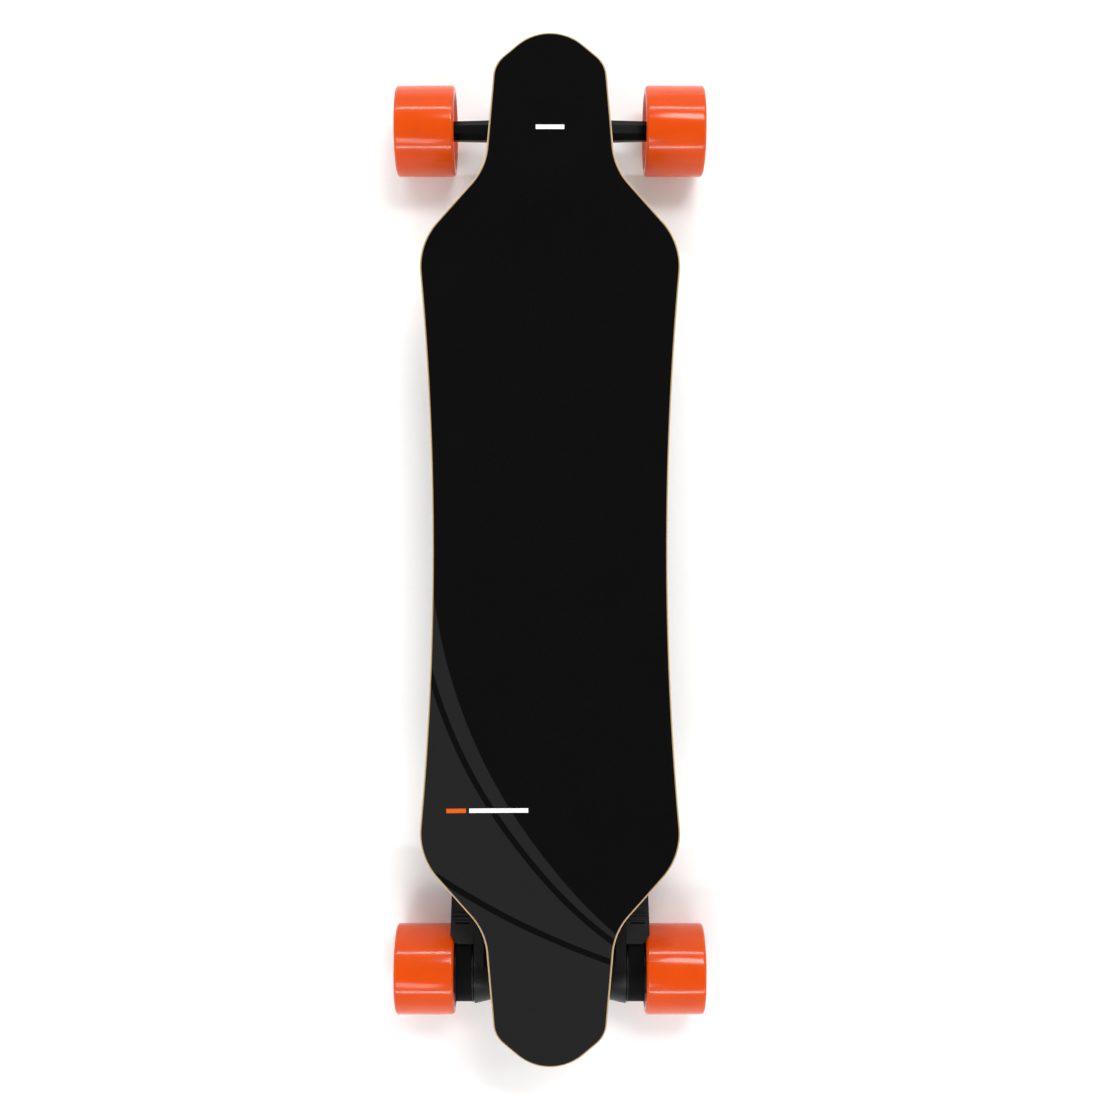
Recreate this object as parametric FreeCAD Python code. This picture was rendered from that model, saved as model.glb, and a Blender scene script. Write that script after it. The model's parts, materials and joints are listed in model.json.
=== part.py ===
import FreeCAD, Part
import math
import os

from FreeCAD import Placement, Rotation, Vector

# Electric longboard, in millimetres.  +X points to the nose, +Y to the left and +Z up.
# The origin is on the ground below the middle of the deck.

# ---- deck -----------------------------------------------------------------
DECK_THICK = 12.0
GRIP_THICK = 0.8
GRIP_INSET = 1.8
PLATFORM_TOP = 104.0       # deck top at the middle of the standing platform
NOSE_RISE = 13.5           # how far the truck zones stand above the platform
RISE_START = 265.0         # |x| where the platform begins to climb
RISE_LENGTH = 80.0
CONCAVE = 5.0              # lift of the platform edge at the reference half width
CONCAVE_HALF = 120.0
WAIST_HALF = 108.2
WAIST_RADIUS = 2900.0
SHOULDER_X = 280.7
SHOULDER_FILLET = 60.0
# outline corners past the shoulder: x, y, fillet radius
NECK = (348.0, 59.6, 56.0)
NOSE = (443.2, 51.3, 26.0)
TIP = (485.7, 0.0, 47.5)
FLAT_FROM = 350.0          # |x| from which the deck is exactly flat

# ---- trucks ---------------------------------------------------------------
AXLE_X = 399.5
AXLE_Z = 42.5
AXLE_R = 3.95
AXLE_HALF = 135.0
BASE_TOP = 60.0            # baseplate top above the axle
BASE_THICK = 6.0
BASE_IN, BASE_OUT = -36.0, 40.0
BASE_HALF = 28.0
BOLT_MID = 2.0             # bolt pattern centre, outward from the axle
BOLT_DX, BOLT_DY = 26.95, 20.65
STEER_TILT = 45.0
RAKE = 7.0                 # axle below the steering axis, square to it
RING_AT = 36.0             # hanger ring centre along the steering axis
RING_R = 20.0
RING_HALF = 5.0
BUSH_R = 11.5
BUSH_END = 17.0            # bushing seat from the ring centre
KINGPIN_R = 4.75
NOSE_AT = -19.0            # tip of the pivot nose along the steering axis
BAR_MID = 21.0             # across flats of the hanger bar in the middle
BAR_TIP = 17.4             # and at its shoulder
BAR_SHOULDER = 100.0

PIVOT_CUP_R = 9.0
CUP_AT = -22.0             # back of the pivot cup along the steering axis

# ---- fasteners ------------------------------------------------------------
RISER = 3.0                # rubber pad between baseplate and deck
BOLT_R, BOLT_HOLE_R, BOLT_HEAD_R = 2.5, 2.7, 4.6
BOLT_HEAD, BOLT_REACH = 3.0, 11.0      # head height, and reach above the baseplate
INSERT_R, INSERT_LEN = 4.0, 9.0
SCREW_R, SCREW_HEAD_R, SCREW_HEAD = 2.0, 3.8, 2.4
SCREW_BITE = 7.5           # how far an enclosure screw goes into the deck

# ---- wheels ---------------------------------------------------------------
WHEEL_R = 42.5
WHEEL_IN, WHEEL_OUT = 90.0, 146.0
TYRE_BORE = 29.5
BEARING_R, BEARING_BORE, BEARING_W = 11.0, 4.0, 7.0
BEARING_AT = (101.0, 118.0)
PIN_COUNT, PIN_PCR, PIN_R = 6, 19.8, 4.0

# ---- drive ----------------------------------------------------------------
PITCH = 5.0
WHEEL_TEETH, MOTOR_TEETH, BELT_TEETH = 36, 15, 59
PITCH_DROP = 0.57          # pitch line above the pulley's tooth tips
BELT_BACK = 1.65           # belt back above the pitch line
BELT_IN, BELT_OUT = 73.7, 88.5
PULLEY_IN, PULLEY_OUT = 72.6, 89.6
MOUNT_IN, MOUNT_OUT = 62.0, 71.6
CLAMP_IN = 54.0            # inner end of the clamp round the hanger bar
MOTOR_R = 25.0
MOTOR_INNER = 9.0
MOTOR_WALL = 1.6
MOTOR_BOLT_PCR, MOTOR_BOLT_R = 16.0, 2.0
ROTOR_R, ROTOR_IN, ROTOR_OUT = 22.8, 15.0, 54.0
CABLE_R = 3.0
COVER_REAR, COVER_OUT = 30.2, 94.4     # belt cover's rear edge and outer face
COVER_WALL = 2.5

# ---- enclosure ------------------------------------------------------------
BOX_BOTTOM = 62.0
BOX_WALL = 3.0
BOX_HALF = 84.0
BOX_FRONT, BOX_REAR = 250.0, -262.0
BOX_END_HALF, BOX_TAPER_FROM = 52.0, 192.0
FLANGE, FLANGE_THICK = 10.0, 3.0
GASKET = 1.5
FINS = (-231.7, -150.3, 37.7)          # heatsink window: rear, front, half width
CELL_R, CELL_LEN, CELL_ROWS = 10.5, 70.0, 10
BOARD_THICK = 1.6
SOCKET_R, SOCKET_LIP_R, SOCKET_BORE_R = 8.0, 9.6, 4.15
BUTTON_R = 7.0
PORT_X, BUTTON_X, SIDE_Z = -150.0, -112.0, 76.0


def save(name, *shapes):
    """Write one node, as a solid or as a group of separate solids."""
    solids = [solid for shape in shapes for solid in shape.Solids]
    shape = solids[0] if len(solids) == 1 else Part.makeCompound(solids)
    shape.exportStep("parts/" + name + ".step")


def box(x0, x1, y0, y1, z0, z1):
    return Part.makeBox(x1 - x0, y1 - y0, z1 - z0, Vector(x0, y0, z0))


def rod(radius, y0, y1, x=0.0, z=0.0):
    """A cylinder along Y."""
    return Part.makeCylinder(radius, y1 - y0, Vector(x, y0, z), Vector(0, 1, 0))


def post(radius, x, y, z0, z1):
    return Part.makeCylinder(radius, z1 - z0, Vector(x, y, z0))


def tube(outer, inner, y0, y1, x=0.0, z=0.0):
    return rod(outer, y0, y1, x, z).cut(rod(inner, y0 - 1, y1 + 1, x, z))


def side_plate(points, y0, y1):
    """A polygon of x, z points, extruded along Y."""
    corners = [Vector(x, y0, z) for x, z in points]
    wire = Part.makePolygon(corners + corners[:1])
    return Part.Face(wire).extrude(Vector(0, y1 - y0, 0))


def spun(profile):
    """A ring made by turning a profile of radius, y points about the Y axis."""
    corners = [Vector(radius, y, 0) for radius, y in profile]
    wire = Part.makePolygon(corners + corners[:1])
    return Part.Face(wire).revolve(Vector(0, 0, 0), Vector(0, 1, 0), 360)


def hexagon(radius, z0, z1):
    corners = [Vector(radius * math.cos(math.radians(a)), radius * math.sin(math.radians(a)), z0)
               for a in range(0, 361, 60)]
    return Part.Face(Part.makePolygon(corners)).extrude(Vector(0, 0, z1 - z0))


def mirrored(shape):
    return shape.mirror(Vector(0, 0, 0), Vector(0, 1, 0))


def moved(shape, x, y, z):
    copy = shape.copy()
    copy.translate(Vector(x, y, z))
    return copy


def at_front(shape):
    """From a truck's own frame, x outward from the axle, to the front truck."""
    return moved(shape, AXLE_X, 0, AXLE_Z)


def at_rear(shape):
    turned = shape.copy()
    turned.rotate(Vector(0, 0, 0), Vector(0, 0, 1), 180)
    return moved(turned, -AXLE_X, 0, AXLE_Z)


def tilted(shape):
    """From the steering frame, x along the axis and z square to it, to the truck's frame."""
    foot = RAKE * math.sin(math.radians(STEER_TILT))
    place = Placement(Vector(-foot, 0, foot), Rotation(Vector(0, 1, 0), -STEER_TILT))
    copy = shape.copy()
    copy.Placement = place.multiply(copy.Placement)
    return copy


# ---- deck -----------------------------------------------------------------


def fillet_points(before, corner, after, radius):
    """Start, middle and end of the arc that rounds a corner."""
    to_before = (before - corner).normalize()
    to_after = (after - corner).normalize()
    half = to_before.getAngle(to_after) / 2
    reach = radius / math.tan(half)
    middle = (to_before + to_after).normalize()
    deep = radius / math.sin(half) - radius
    return corner + to_before * reach, corner + middle * deep, corner + to_after * reach


def waist_joint():
    """The arc between the waist curve and the straight shoulder, and its ends."""
    centre = Vector(0, WAIST_HALF + WAIST_RADIUS, 0)
    shoulder_y = centre.y - math.sqrt(WAIST_RADIUS ** 2 - SHOULDER_X ** 2)
    shoulder = Vector(SHOULDER_X, shoulder_y, 0)
    along = (Vector(NECK[0], NECK[1], 0) - shoulder).normalize()
    inward = Vector(along.y, -along.x, 0)
    base = shoulder + inward * SHOULDER_FILLET
    offset = base - centre
    b = offset.dot(along)
    c = offset.dot(offset) - (WAIST_RADIUS + SHOULDER_FILLET) ** 2
    root = math.sqrt(b * b - c)
    shift = min(-b - root, -b + root, key=abs)
    arc_centre = base + along * shift
    start = centre + (arc_centre - centre) * (WAIST_RADIUS / (WAIST_RADIUS + SHOULDER_FILLET))
    end = arc_centre - inward * SHOULDER_FILLET
    bulge = ((start - arc_centre) + (end - arc_centre)).normalize()
    return start, arc_centre + bulge * SHOULDER_FILLET, end, shoulder


def outline_wire():
    """The deck outline: a waisted platform, two narrow necks and two pointed ends."""
    start, bulge, end, shoulder = waist_joint()
    neck, nose, tip = (Vector(x, y, 0) for x, y, _ in (NECK, NOSE, TIP))
    other_nose = Vector(nose.x, -nose.y, 0)
    neck_arc = fillet_points(shoulder, neck, nose, NECK[2])
    nose_arc = fillet_points(neck, nose, tip, NOSE[2])
    tip_arc = fillet_points(nose, tip, other_nose, TIP[2])

    def flip(point, sx, sy):
        return Vector(point.x * sx, point.y * sy, 0)

    def arc(points, sx, sy):
        return Part.Arc(*[flip(point, sx, sy) for point in points]).toShape()

    edges = []
    for sx in (1, -1):
        for sy in (1, -1):
            edges.append(arc((start, bulge, end), sx, sy))
            edges.append(Part.makeLine(flip(end, sx, sy), flip(neck_arc[0], sx, sy)))
            edges.append(arc(neck_arc, sx, sy))
            edges.append(Part.makeLine(flip(neck_arc[2], sx, sy), flip(nose_arc[0], sx, sy)))
            edges.append(arc(nose_arc, sx, sy))
            edges.append(Part.makeLine(flip(nose_arc[2], sx, sy), flip(tip_arc[0], sx, sy)))
        edges.append(arc(tip_arc, sx, 1))
    for sy in (1, -1):
        middle = Vector(0, WAIST_HALF, 0)
        edges.append(arc((flip(start, -1, 1), middle, start), 1, sy))
    return Part.Wire(Part.__sortEdges__(edges))


def deck_top(x, y):
    climb = min(max((abs(x) - RISE_START) / RISE_LENGTH, 0.0), 1.0)
    smooth = climb * climb * (3 - 2 * climb)
    return PLATFORM_TOP + NOSE_RISE * smooth + CONCAVE * (1 - smooth) * (y / CONCAVE_HALF) ** 2


def layer(outline, below_top, thick):
    """A sheet that follows the deck's shape, cut to an outline."""
    stations = [-500 + 20 * i for i in range(51)]
    rows = [-132 + 66 * i for i in range(5)]
    surface = Part.BSplineSurface()
    surface.interpolate([[Vector(x, y, deck_top(x, y) - below_top) for y in rows] for x in stations])
    sheet = surface.toShape().extrude(Vector(0, 0, -thick))
    curved = sheet.common(box(-FLAT_FROM, FLAT_FROM, -200, 200, 0, 300))
    flat_top = PLATFORM_TOP + NOSE_RISE - below_top
    reach = TIP[0] + 20
    ends = [box(x0, x1, -200, 200, flat_top - thick, flat_top)
            for x0, x1 in ((-reach, -FLAT_FROM), (FLAT_FROM, reach))]
    prism = Part.Face(outline).extrude(Vector(0, 0, 300))
    pieces = [curved.common(prism)] + [end.common(prism) for end in ends]
    pieces = [piece for piece in pieces if piece.Volume > 1]
    whole = pieces[0]
    for piece in pieces[1:]:
        whole = whole.fuse(piece)
    return whole


def bolt_places():
    return [(BOLT_MID + sx * BOLT_DX, sy * BOLT_DY) for sx in (-1, 1) for sy in (-1, 1)]


def both_trucks(shape):
    return [at_front(shape), at_rear(shape)]


def make_deck():
    outline = outline_wire()
    deck = layer(outline, 0, DECK_THICK)
    riser_top = BASE_TOP + RISER
    for x, y in bolt_places():
        for hole in both_trucks(post(INSERT_R, x, y, riser_top, riser_top + INSERT_LEN)):
            deck = deck.cut(hole)
    for x, y in flange_screws():
        under = deck_top(x, y) - DECK_THICK
        deck = deck.cut(post(SCREW_R, x, y, under - 5, under + SCREW_BITE + 0.5))
    save("deck", deck)
    save("grip_tape", layer(outline.makeOffset2D(-GRIP_INSET), -GRIP_THICK, GRIP_THICK))


def make_truck_fasteners():
    """Rubber riser pads, the bolts from below and the threaded inserts in the deck."""
    riser_top, plate_under = BASE_TOP + RISER, BASE_TOP - BASE_THICK
    riser = base_outline(BASE_TOP, riser_top)
    bolts, inserts = [], []
    for x, y in bolt_places():
        riser = riser.cut(post(BOLT_HOLE_R, x, y, BASE_TOP - 1, riser_top + 2))
        shank = post(BOLT_R, x, y, plate_under, BASE_TOP + BOLT_REACH)
        head = post(BOLT_HEAD_R, x, y, plate_under - BOLT_HEAD, plate_under)
        socket = moved(hexagon(1.9, -4, -2), x, y, plate_under)
        bolts += both_trucks(shank.fuse(head).cut(socket))
        thread = post(BOLT_R, x, y, BASE_TOP, BASE_TOP + BOLT_REACH)
        inserts += both_trucks(post(INSERT_R, x, y, riser_top, riser_top + INSERT_LEN).cut(thread))
    save("riser_pads", *both_trucks(riser))
    save("truck_bolts", *bolts)
    save("truck_inserts", *inserts)


# ---- trucks ---------------------------------------------------------------


def base_outline(z0, z1):
    plate = box(BASE_IN, BASE_OUT, -BASE_HALF, BASE_HALF, z0, z1)
    upright = [edge for edge in plate.Edges
               if abs(edge.Vertexes[0].Z - edge.Vertexes[-1].Z) > (z1 - z0) / 2]
    return plate.makeFillet(8, upright)


def make_baseplate():
    """Top plate, bushing seat and the arm that carries the pivot cup below the bar."""
    under = BASE_TOP - BASE_THICK
    arm_half, rib_half = 13, 4
    arm = side_plate([(-22.6, -12.7), (-14.1, -4.2), (-21.9, 3.5), (-0.7, 24.7), (-1.0, 33.5), (17.3, 51.8),
                      (20.1, under), (20.1, BASE_TOP), (BASE_IN + 2, BASE_TOP), (BASE_IN + 2, 24),
                      (-33.0, -2.4)], -arm_half, arm_half)
    pocket = side_plate([(-29.5, 6), (-22, 10), (-6, 26), (-6, 34), (6, 48), (-29.5, 48)], rib_half, 20)
    seat = Part.makeCylinder(BUSH_R + 1.5, 30, Vector(RING_AT, 0, BUSH_END))
    lug = Part.makeCylinder(PIVOT_CUP_R + 3, 12, Vector(CUP_AT - 3, 0, 0), Vector(1, 0, 0))
    cup_bore = Part.makeCylinder(PIVOT_CUP_R, 12, Vector(CUP_AT, 0, 0), Vector(1, 0, 0))
    pin_bore = Part.makeCylinder(KINGPIN_R + 0.15, 20, Vector(RING_AT, 0, BUSH_END - 1))
    head_bore = Part.makeCylinder(8.8, 40, Vector(RING_AT, 0, 24))
    ceiling = box(-100, 100, -60, 60, BASE_TOP, 200)
    body = base_outline(under, BASE_TOP).fuse([arm.cut(pocket).cut(mirrored(pocket)), tilted(lug),
                                               tilted(seat).cut(ceiling)])
    body = body.cut([tilted(cup_bore), tilted(pin_bore), tilted(head_bore)])
    for x, y in bolt_places():
        body = body.cut(post(BOLT_HOLE_R, x, y, under - 5, BASE_TOP + 1))
    return body.removeSplitter()


def kingpin_set():
    """Kingpin, its nut and washers, the pivot cup and the two bushings of one truck."""
    ring_gap = RING_HALF - 2
    bushing = BUSH_END - ring_gap
    shaft = Part.makeCylinder(KINGPIN_R, 54, Vector(RING_AT, 0, -30))
    pin = shaft.fuse(moved(hexagon(8.2, 24, 31), RING_AT, 0, 0)).removeSplitter()
    bore = Part.makeCylinder(KINGPIN_R, 90, Vector(RING_AT, 0, -45))
    low_washer = Part.makeCylinder(12.5, 2, Vector(RING_AT, 0, -BUSH_END - 2)).cut(bore)
    nut = moved(hexagon(8.4, -BUSH_END - 10, -BUSH_END - 2), RING_AT, 0, 0).cut(bore)
    nose_hole = Part.makeCone(5.2, 8.9, 15, Vector(NOSE_AT - 0.5, 0, 0), Vector(1, 0, 0))
    cup = Part.makeCylinder(PIVOT_CUP_R, 8.7, Vector(CUP_AT, 0, 0), Vector(1, 0, 0)).cut(nose_hole)
    wide = Part.makeCylinder(BUSH_R, bushing, Vector(RING_AT, 0, ring_gap))
    narrow = Part.makeCone(BUSH_R, BUSH_R - 2, bushing, Vector(RING_AT, 0, -ring_gap), Vector(0, 0, -1))
    return {"kingpin": tilted(pin), "nut": tilted(nut), "washer": tilted(low_washer),
            "cup": tilted(cup), "bushings": [tilted(wide.cut(bore)), tilted(narrow.cut(bore))]}


def octagon(flats, y):
    radius = flats / 2 / math.cos(math.pi / 8)
    turns = [math.pi / 8 + math.pi / 4 * i for i in range(8)]
    corners = [Vector(radius * math.cos(a), y, radius * math.sin(a)) for a in turns]
    return Part.makePolygon(corners + corners[:1])


def bar_half():
    return Part.makeLoft([octagon(BAR_MID, 24), octagon(BAR_TIP, BAR_SHOULDER)], True)


def make_hanger():
    """Axle bar, pivot nose, triangular web and the ring that holds the bushings."""
    nose_root, nose_tip, web_half, foot_half = 8.6, 5.0, RING_HALF - 1, 46
    middle = Part.Face(octagon(BAR_MID, -24)).extrude(Vector(0, 48, 0))
    nose = Part.makeCone(nose_root, nose_tip, -4 - NOSE_AT, Vector(-4, 0, 0), Vector(-1, 0, 0))
    root = Part.makeCylinder(nose_root, 8, Vector(-4, 0, 0), Vector(1, 0, 0))
    ring = Part.makeCylinder(RING_R, 2 * RING_HALF, Vector(RING_AT, 0, -RING_HALF))
    corners = [(0, -foot_half), (8, -foot_half), (RING_AT - 6, -19), (RING_AT - 6, 19),
               (8, foot_half), (0, foot_half)]
    points = [Vector(x, y, -web_half) for x, y in corners]
    web = Part.Face(Part.makePolygon(points + points[:1])).extrude(Vector(0, 0, 2 * web_half))
    hole = Part.makeCylinder(9.0, 40, Vector(RING_AT, 0, -20))
    recesses = [Part.makeCylinder(BUSH_R + 0.4, 10, Vector(RING_AT, 0, z))
                for z in (RING_HALF - 2, -RING_HALF - 8)]
    window = []
    for side in (1, -1):
        spots = [(13, side * 8), (13, side * 30), (19, side * 22), (19, side * 8)]
        base = [Vector(x, y, -20) for x, y in spots]
        window.append(Part.Face(Part.makePolygon(base + base[:1])).extrude(Vector(0, 0, 40)))
    frame = web.fuse([ring, nose, root]).cut([hole] + recesses + window)
    body = middle.fuse([bar_half(), mirrored(bar_half()), tilted(frame)])
    return body.cut(rod(AXLE_R, -150, 150)).removeSplitter()


def axle_hardware():
    """Speed rings, bearing spacers and lock nuts of one axle."""
    ring = tube(6.0, AXLE_R, BAR_SHOULDER, BAR_SHOULDER + 0.7)
    spacer = tube(5.4, AXLE_R, BEARING_AT[0] + BEARING_W + 0.3, BEARING_AT[1] - 0.3)
    nut_at = BEARING_AT[1] + BEARING_W + 0.3
    nut = hexagon(7.4, 0, 7)
    nut.rotate(Vector(0, 0, 0), Vector(1, 0, 0), -90)
    nut = moved(nut, 0, nut_at, 0).cut(rod(AXLE_R, 0, 200))
    half = [ring, spacer, nut]
    return half + [mirrored(shape) for shape in half]


def make_trucks():
    parts = kingpin_set()
    baseplate, hanger = make_baseplate(), make_hanger()
    axle = rod(AXLE_R, -AXLE_HALF, AXLE_HALF)
    for end, place in (("front", at_front), ("rear", at_rear)):
        save(end + "_baseplate", place(baseplate))
        save(end + "_hanger", place(hanger))
        save(end + "_axle", place(axle))
        save(end + "_axle_hardware", *[place(shape) for shape in axle_hardware()])
        save(end + "_bushings", *[place(shape) for shape in parts["bushings"]])
    save("kingpins", *both_trucks(parts["kingpin"]))
    save("kingpin_hardware", *both_trucks(parts["nut"]), *both_trucks(parts["washer"]))
    save("pivot_cups", *both_trucks(parts["cup"]))


# ---- wheels ---------------------------------------------------------------


def pin_places():
    turns = [2 * math.pi * i / PIN_COUNT for i in range(PIN_COUNT)]
    return [(PIN_PCR * math.cos(a), PIN_PCR * math.sin(a)) for a in turns]


def make_tyre():
    """Urethane tyre with dished side faces and softly rounded lips."""
    lip = 3.0
    profile = [(TYRE_BORE, WHEEL_IN + 5), (WHEEL_R - 6, WHEEL_IN), (WHEEL_R, WHEEL_IN),
               (WHEEL_R, WHEEL_OUT), (WHEEL_R - 6, WHEEL_OUT), (TYRE_BORE, WHEEL_OUT - 6)]
    tyre = spun(profile)
    rims = [edge for edge in tyre.Edges
            if edge.Closed and abs(edge.BoundBox.ZLength - 2 * WHEEL_R) < 0.1]
    return tyre.makeFillet(lip, rims)


def make_core():
    """Plastic core: rim, web with drive windows, and the hub that seats two bearings."""
    hub_in, hub_out = BEARING_AT[0], BEARING_AT[1] + BEARING_W
    step_in, step_out = hub_in + BEARING_W, BEARING_AT[1]
    rim_r, hub_r, step_r = TYRE_BORE - 3.7, BEARING_R + 3.2, 8.0
    rim_in, rim_out, web_in, web_out = 96.5, 139, 107, 119
    core = spun([(BEARING_R, hub_in), (hub_r, hub_in), (hub_r, web_in), (rim_r, web_in), (rim_r, rim_in),
                 (TYRE_BORE, rim_in), (TYRE_BORE, rim_out), (rim_r, rim_out), (rim_r, web_out),
                 (hub_r, web_out), (hub_r, hub_out), (BEARING_R, hub_out), (BEARING_R, step_out),
                 (step_r, step_out), (step_r, step_in), (BEARING_R, step_in)])
    return core.cut([rod(PIN_R + 0.3, 100, 130, x, z) for x, z in pin_places()])


def make_bearing(inner):
    """A shielded ball bearing as one ring, with the shield grooves on both faces."""
    outer = inner + BEARING_W
    race_in, race_out, groove = 6.0, 9.4, 0.4
    return spun([(BEARING_BORE, inner), (race_in, inner), (race_in, inner + groove),
                 (race_out, inner + groove), (race_out, inner), (BEARING_R, inner), (BEARING_R, outer),
                 (race_out, outer), (race_out, outer - groove), (race_in, outer - groove),
                 (race_in, outer), (BEARING_BORE, outer)])


def make_wheels():
    tyre, core = make_tyre(), make_core()
    bearings = [make_bearing(inner) for inner in BEARING_AT]
    for end, x in (("front", AXLE_X), ("rear", -AXLE_X)):
        for side in ("left", "right"):
            def place(shape):
                return moved(shape if side == "left" else mirrored(shape), x, 0, AXLE_Z)
            name = end + "_" + side + "_"
            save(name + "tyre", place(tyre))
            save(name + "core", place(core))
            save(name + "bearings", *[place(bearing) for bearing in bearings])


# ---- belt drive, made in the left rear wheel's frame ----------------------
# x runs forward from the axle and z up; the motor shaft stands ahead of the axle.


def pitch_radius(teeth):
    return teeth * PITCH / (2 * math.pi)


def belt_length(centres):
    gap = pitch_radius(WHEEL_TEETH) - pitch_radius(MOTOR_TEETH)
    total = pitch_radius(WHEEL_TEETH) + pitch_radius(MOTOR_TEETH)
    return 2 * math.sqrt(centres ** 2 - gap ** 2) + math.pi * total + 2 * gap * math.asin(gap / centres)


def shaft_distance():
    """The centre distance at which the belt has a whole number of teeth."""
    low, high = 60.0, 110.0
    for _ in range(50):
        middle = (low + high) / 2
        if belt_length(middle) < BELT_TEETH * PITCH:
            low = middle
        else:
            high = middle
    return low


MOTOR_X = shaft_distance()


def wrap_angle():
    """How far the tangent points lean forward of the vertical."""
    return math.asin((pitch_radius(WHEEL_TEETH) - pitch_radius(MOTOR_TEETH)) / MOTOR_X)


def loop_wire(big, small, y):
    """The outline of a belt round the wheel pulley and the motor pulley."""
    lean = wrap_angle()
    up = Vector(math.sin(lean), 0, math.cos(lean))
    down = Vector(up.x, 0, -up.z)
    wheel, motor = Vector(0, y, 0), Vector(MOTOR_X, y, 0)
    back, front = Vector(-1, 0, 0), Vector(1, 0, 0)
    edges = [Part.Arc(wheel + down * big, wheel + back * big, wheel + up * big).toShape(),
             Part.makeLine(wheel + up * big, motor + up * small),
             Part.Arc(motor + up * small, motor + front * small, motor + down * small).toShape(),
             Part.makeLine(motor + down * small, wheel + down * big)]
    return Part.Wire(edges)


def tooth_places():
    """Where each belt tooth stands, walking along the pitch line from the top tangent point."""
    big, small, lean = pitch_radius(WHEEL_TEETH), pitch_radius(MOTOR_TEETH), wrap_angle()
    span = math.sqrt(MOTOR_X ** 2 - (big - small) ** 2)
    small_arc = small * (math.pi - 2 * lean)
    places = []
    for count in range(BELT_TEETH):
        run = count * PITCH
        if run <= span:
            start = Vector(big * math.sin(lean), 0, big * math.cos(lean))
            along = Vector(math.cos(lean), 0, -math.sin(lean))
            inward = Vector(-math.sin(lean), 0, -math.cos(lean))
            places.append((start + along * run, inward))
        elif run <= span + small_arc:
            turn = math.pi / 2 - lean - (run - span) / small
            outward = Vector(math.cos(turn), 0, math.sin(turn))
            places.append((Vector(MOTOR_X, 0, 0) + outward * small, outward * -1))
        elif run <= 2 * span + small_arc:
            start = Vector(MOTOR_X + small * math.sin(lean), 0, -small * math.cos(lean))
            along = Vector(-math.cos(lean), 0, -math.sin(lean))
            inward = Vector(-math.sin(lean), 0, math.cos(lean))
            places.append((start + along * (run - span - small_arc), inward))
        else:
            turn = -math.pi / 2 - (run - 2 * span - small_arc) / big + lean
            outward = Vector(math.cos(turn), 0, math.sin(turn))
            places.append((outward * big, outward * -1))
    return places


def make_belt():
    outer = loop_wire(pitch_radius(WHEEL_TEETH) + BELT_BACK, pitch_radius(MOTOR_TEETH) + BELT_BACK, BELT_IN)
    drop = PITCH_DROP - 0.1
    inner = loop_wire(pitch_radius(WHEEL_TEETH) - drop, pitch_radius(MOTOR_TEETH) - drop, BELT_IN)
    band = Part.Face(outer).cut(Part.Face(inner)).extrude(Vector(0, BELT_OUT - BELT_IN, 0))
    teeth = []
    for point, inward in tooth_places():
        centre = point + inward * (drop + 0.1)
        teeth.append(rod(1.4, BELT_IN, BELT_OUT, centre.x, centre.z))
    return band.fuse(teeth).removeSplitter()


def toothed_rim(teeth, first_angle, y0, y1):
    """A pulley's toothed cylinder with round-bottomed grooves."""
    outer = pitch_radius(teeth) - PITCH_DROP
    grooves = []
    for count in range(teeth):
        angle = first_angle + 2 * math.pi * count / teeth
        grooves.append(rod(1.75, y0 - 1, y1 + 1, outer * math.cos(angle), outer * math.sin(angle)))
    return rod(outer, y0, y1).cut(grooves)


def first_groove(teeth, centre_x):
    """The direction, seen from a pulley, of one belt tooth that lies on it."""
    radius = pitch_radius(teeth)
    for point, _ in tooth_places():
        reach = Vector(point.x - centre_x, 0, point.z)
        ahead = (reach.x > 0) == (teeth == MOTOR_TEETH)
        if abs(reach.Length - radius) < 0.001 and ahead:
            return math.atan2(reach.z, reach.x)


def make_wheel_pulley():
    """Toothed rim with two flanges, a clear bore and six pins that enter the wheel core."""
    rim = toothed_rim(WHEEL_TEETH, first_groove(WHEEL_TEETH, 0.0), PULLEY_IN, PULLEY_OUT)
    flange_r = pitch_radius(WHEEL_TEETH) + BELT_BACK + 0.6
    flanges = [rod(flange_r, PULLEY_IN, PULLEY_IN + 0.8), rod(flange_r, PULLEY_OUT - 0.8, PULLEY_OUT)]
    pins = [rod(PIN_R, PULLEY_OUT - 4, 116, x, z) for x, z in pin_places()]
    body = rim.fuse(flanges + pins)
    recess = tube(23.5, 15.5, PULLEY_IN - 1, PULLEY_IN + 5)
    return body.cut([rod(12.5, 0, 200), recess]).removeSplitter()


def make_motor_pulley():
    rim = toothed_rim(MOTOR_TEETH, first_groove(MOTOR_TEETH, MOTOR_X), BELT_IN - 0.9, BELT_OUT + 0.6)
    flange_r = pitch_radius(MOTOR_TEETH) + BELT_BACK + 0.5
    flanges = [rod(flange_r, BELT_IN - 1.3, BELT_IN - 0.3), rod(flange_r, BELT_OUT + 0.2, BELT_OUT + 1.2)]
    return moved(rim.fuse(flanges).cut(rod(4.0, 0, 200)).removeSplitter(), MOTOR_X, 0, 0)


def capsule(big, small, y0, y1):
    """A plate round the axle and the motor shaft, with straight tangent sides."""
    lean = math.asin((big - small) / MOTOR_X)
    top = [(big * math.sin(lean), big * math.cos(lean)),
           (MOTOR_X + small * math.sin(lean), small * math.cos(lean))]
    bottom = [(x, -z) for x, z in reversed(top)]
    return side_plate(top + bottom, y0, y1).fuse([rod(big, y0, y1), rod(small, y0, y1, MOTOR_X)])


def motor_bolts():
    turns = [math.radians(45 + 90 * i) for i in range(4)]
    return [(MOTOR_X + MOTOR_BOLT_PCR * math.cos(a), MOTOR_BOLT_PCR * math.sin(a)) for a in turns]


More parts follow.
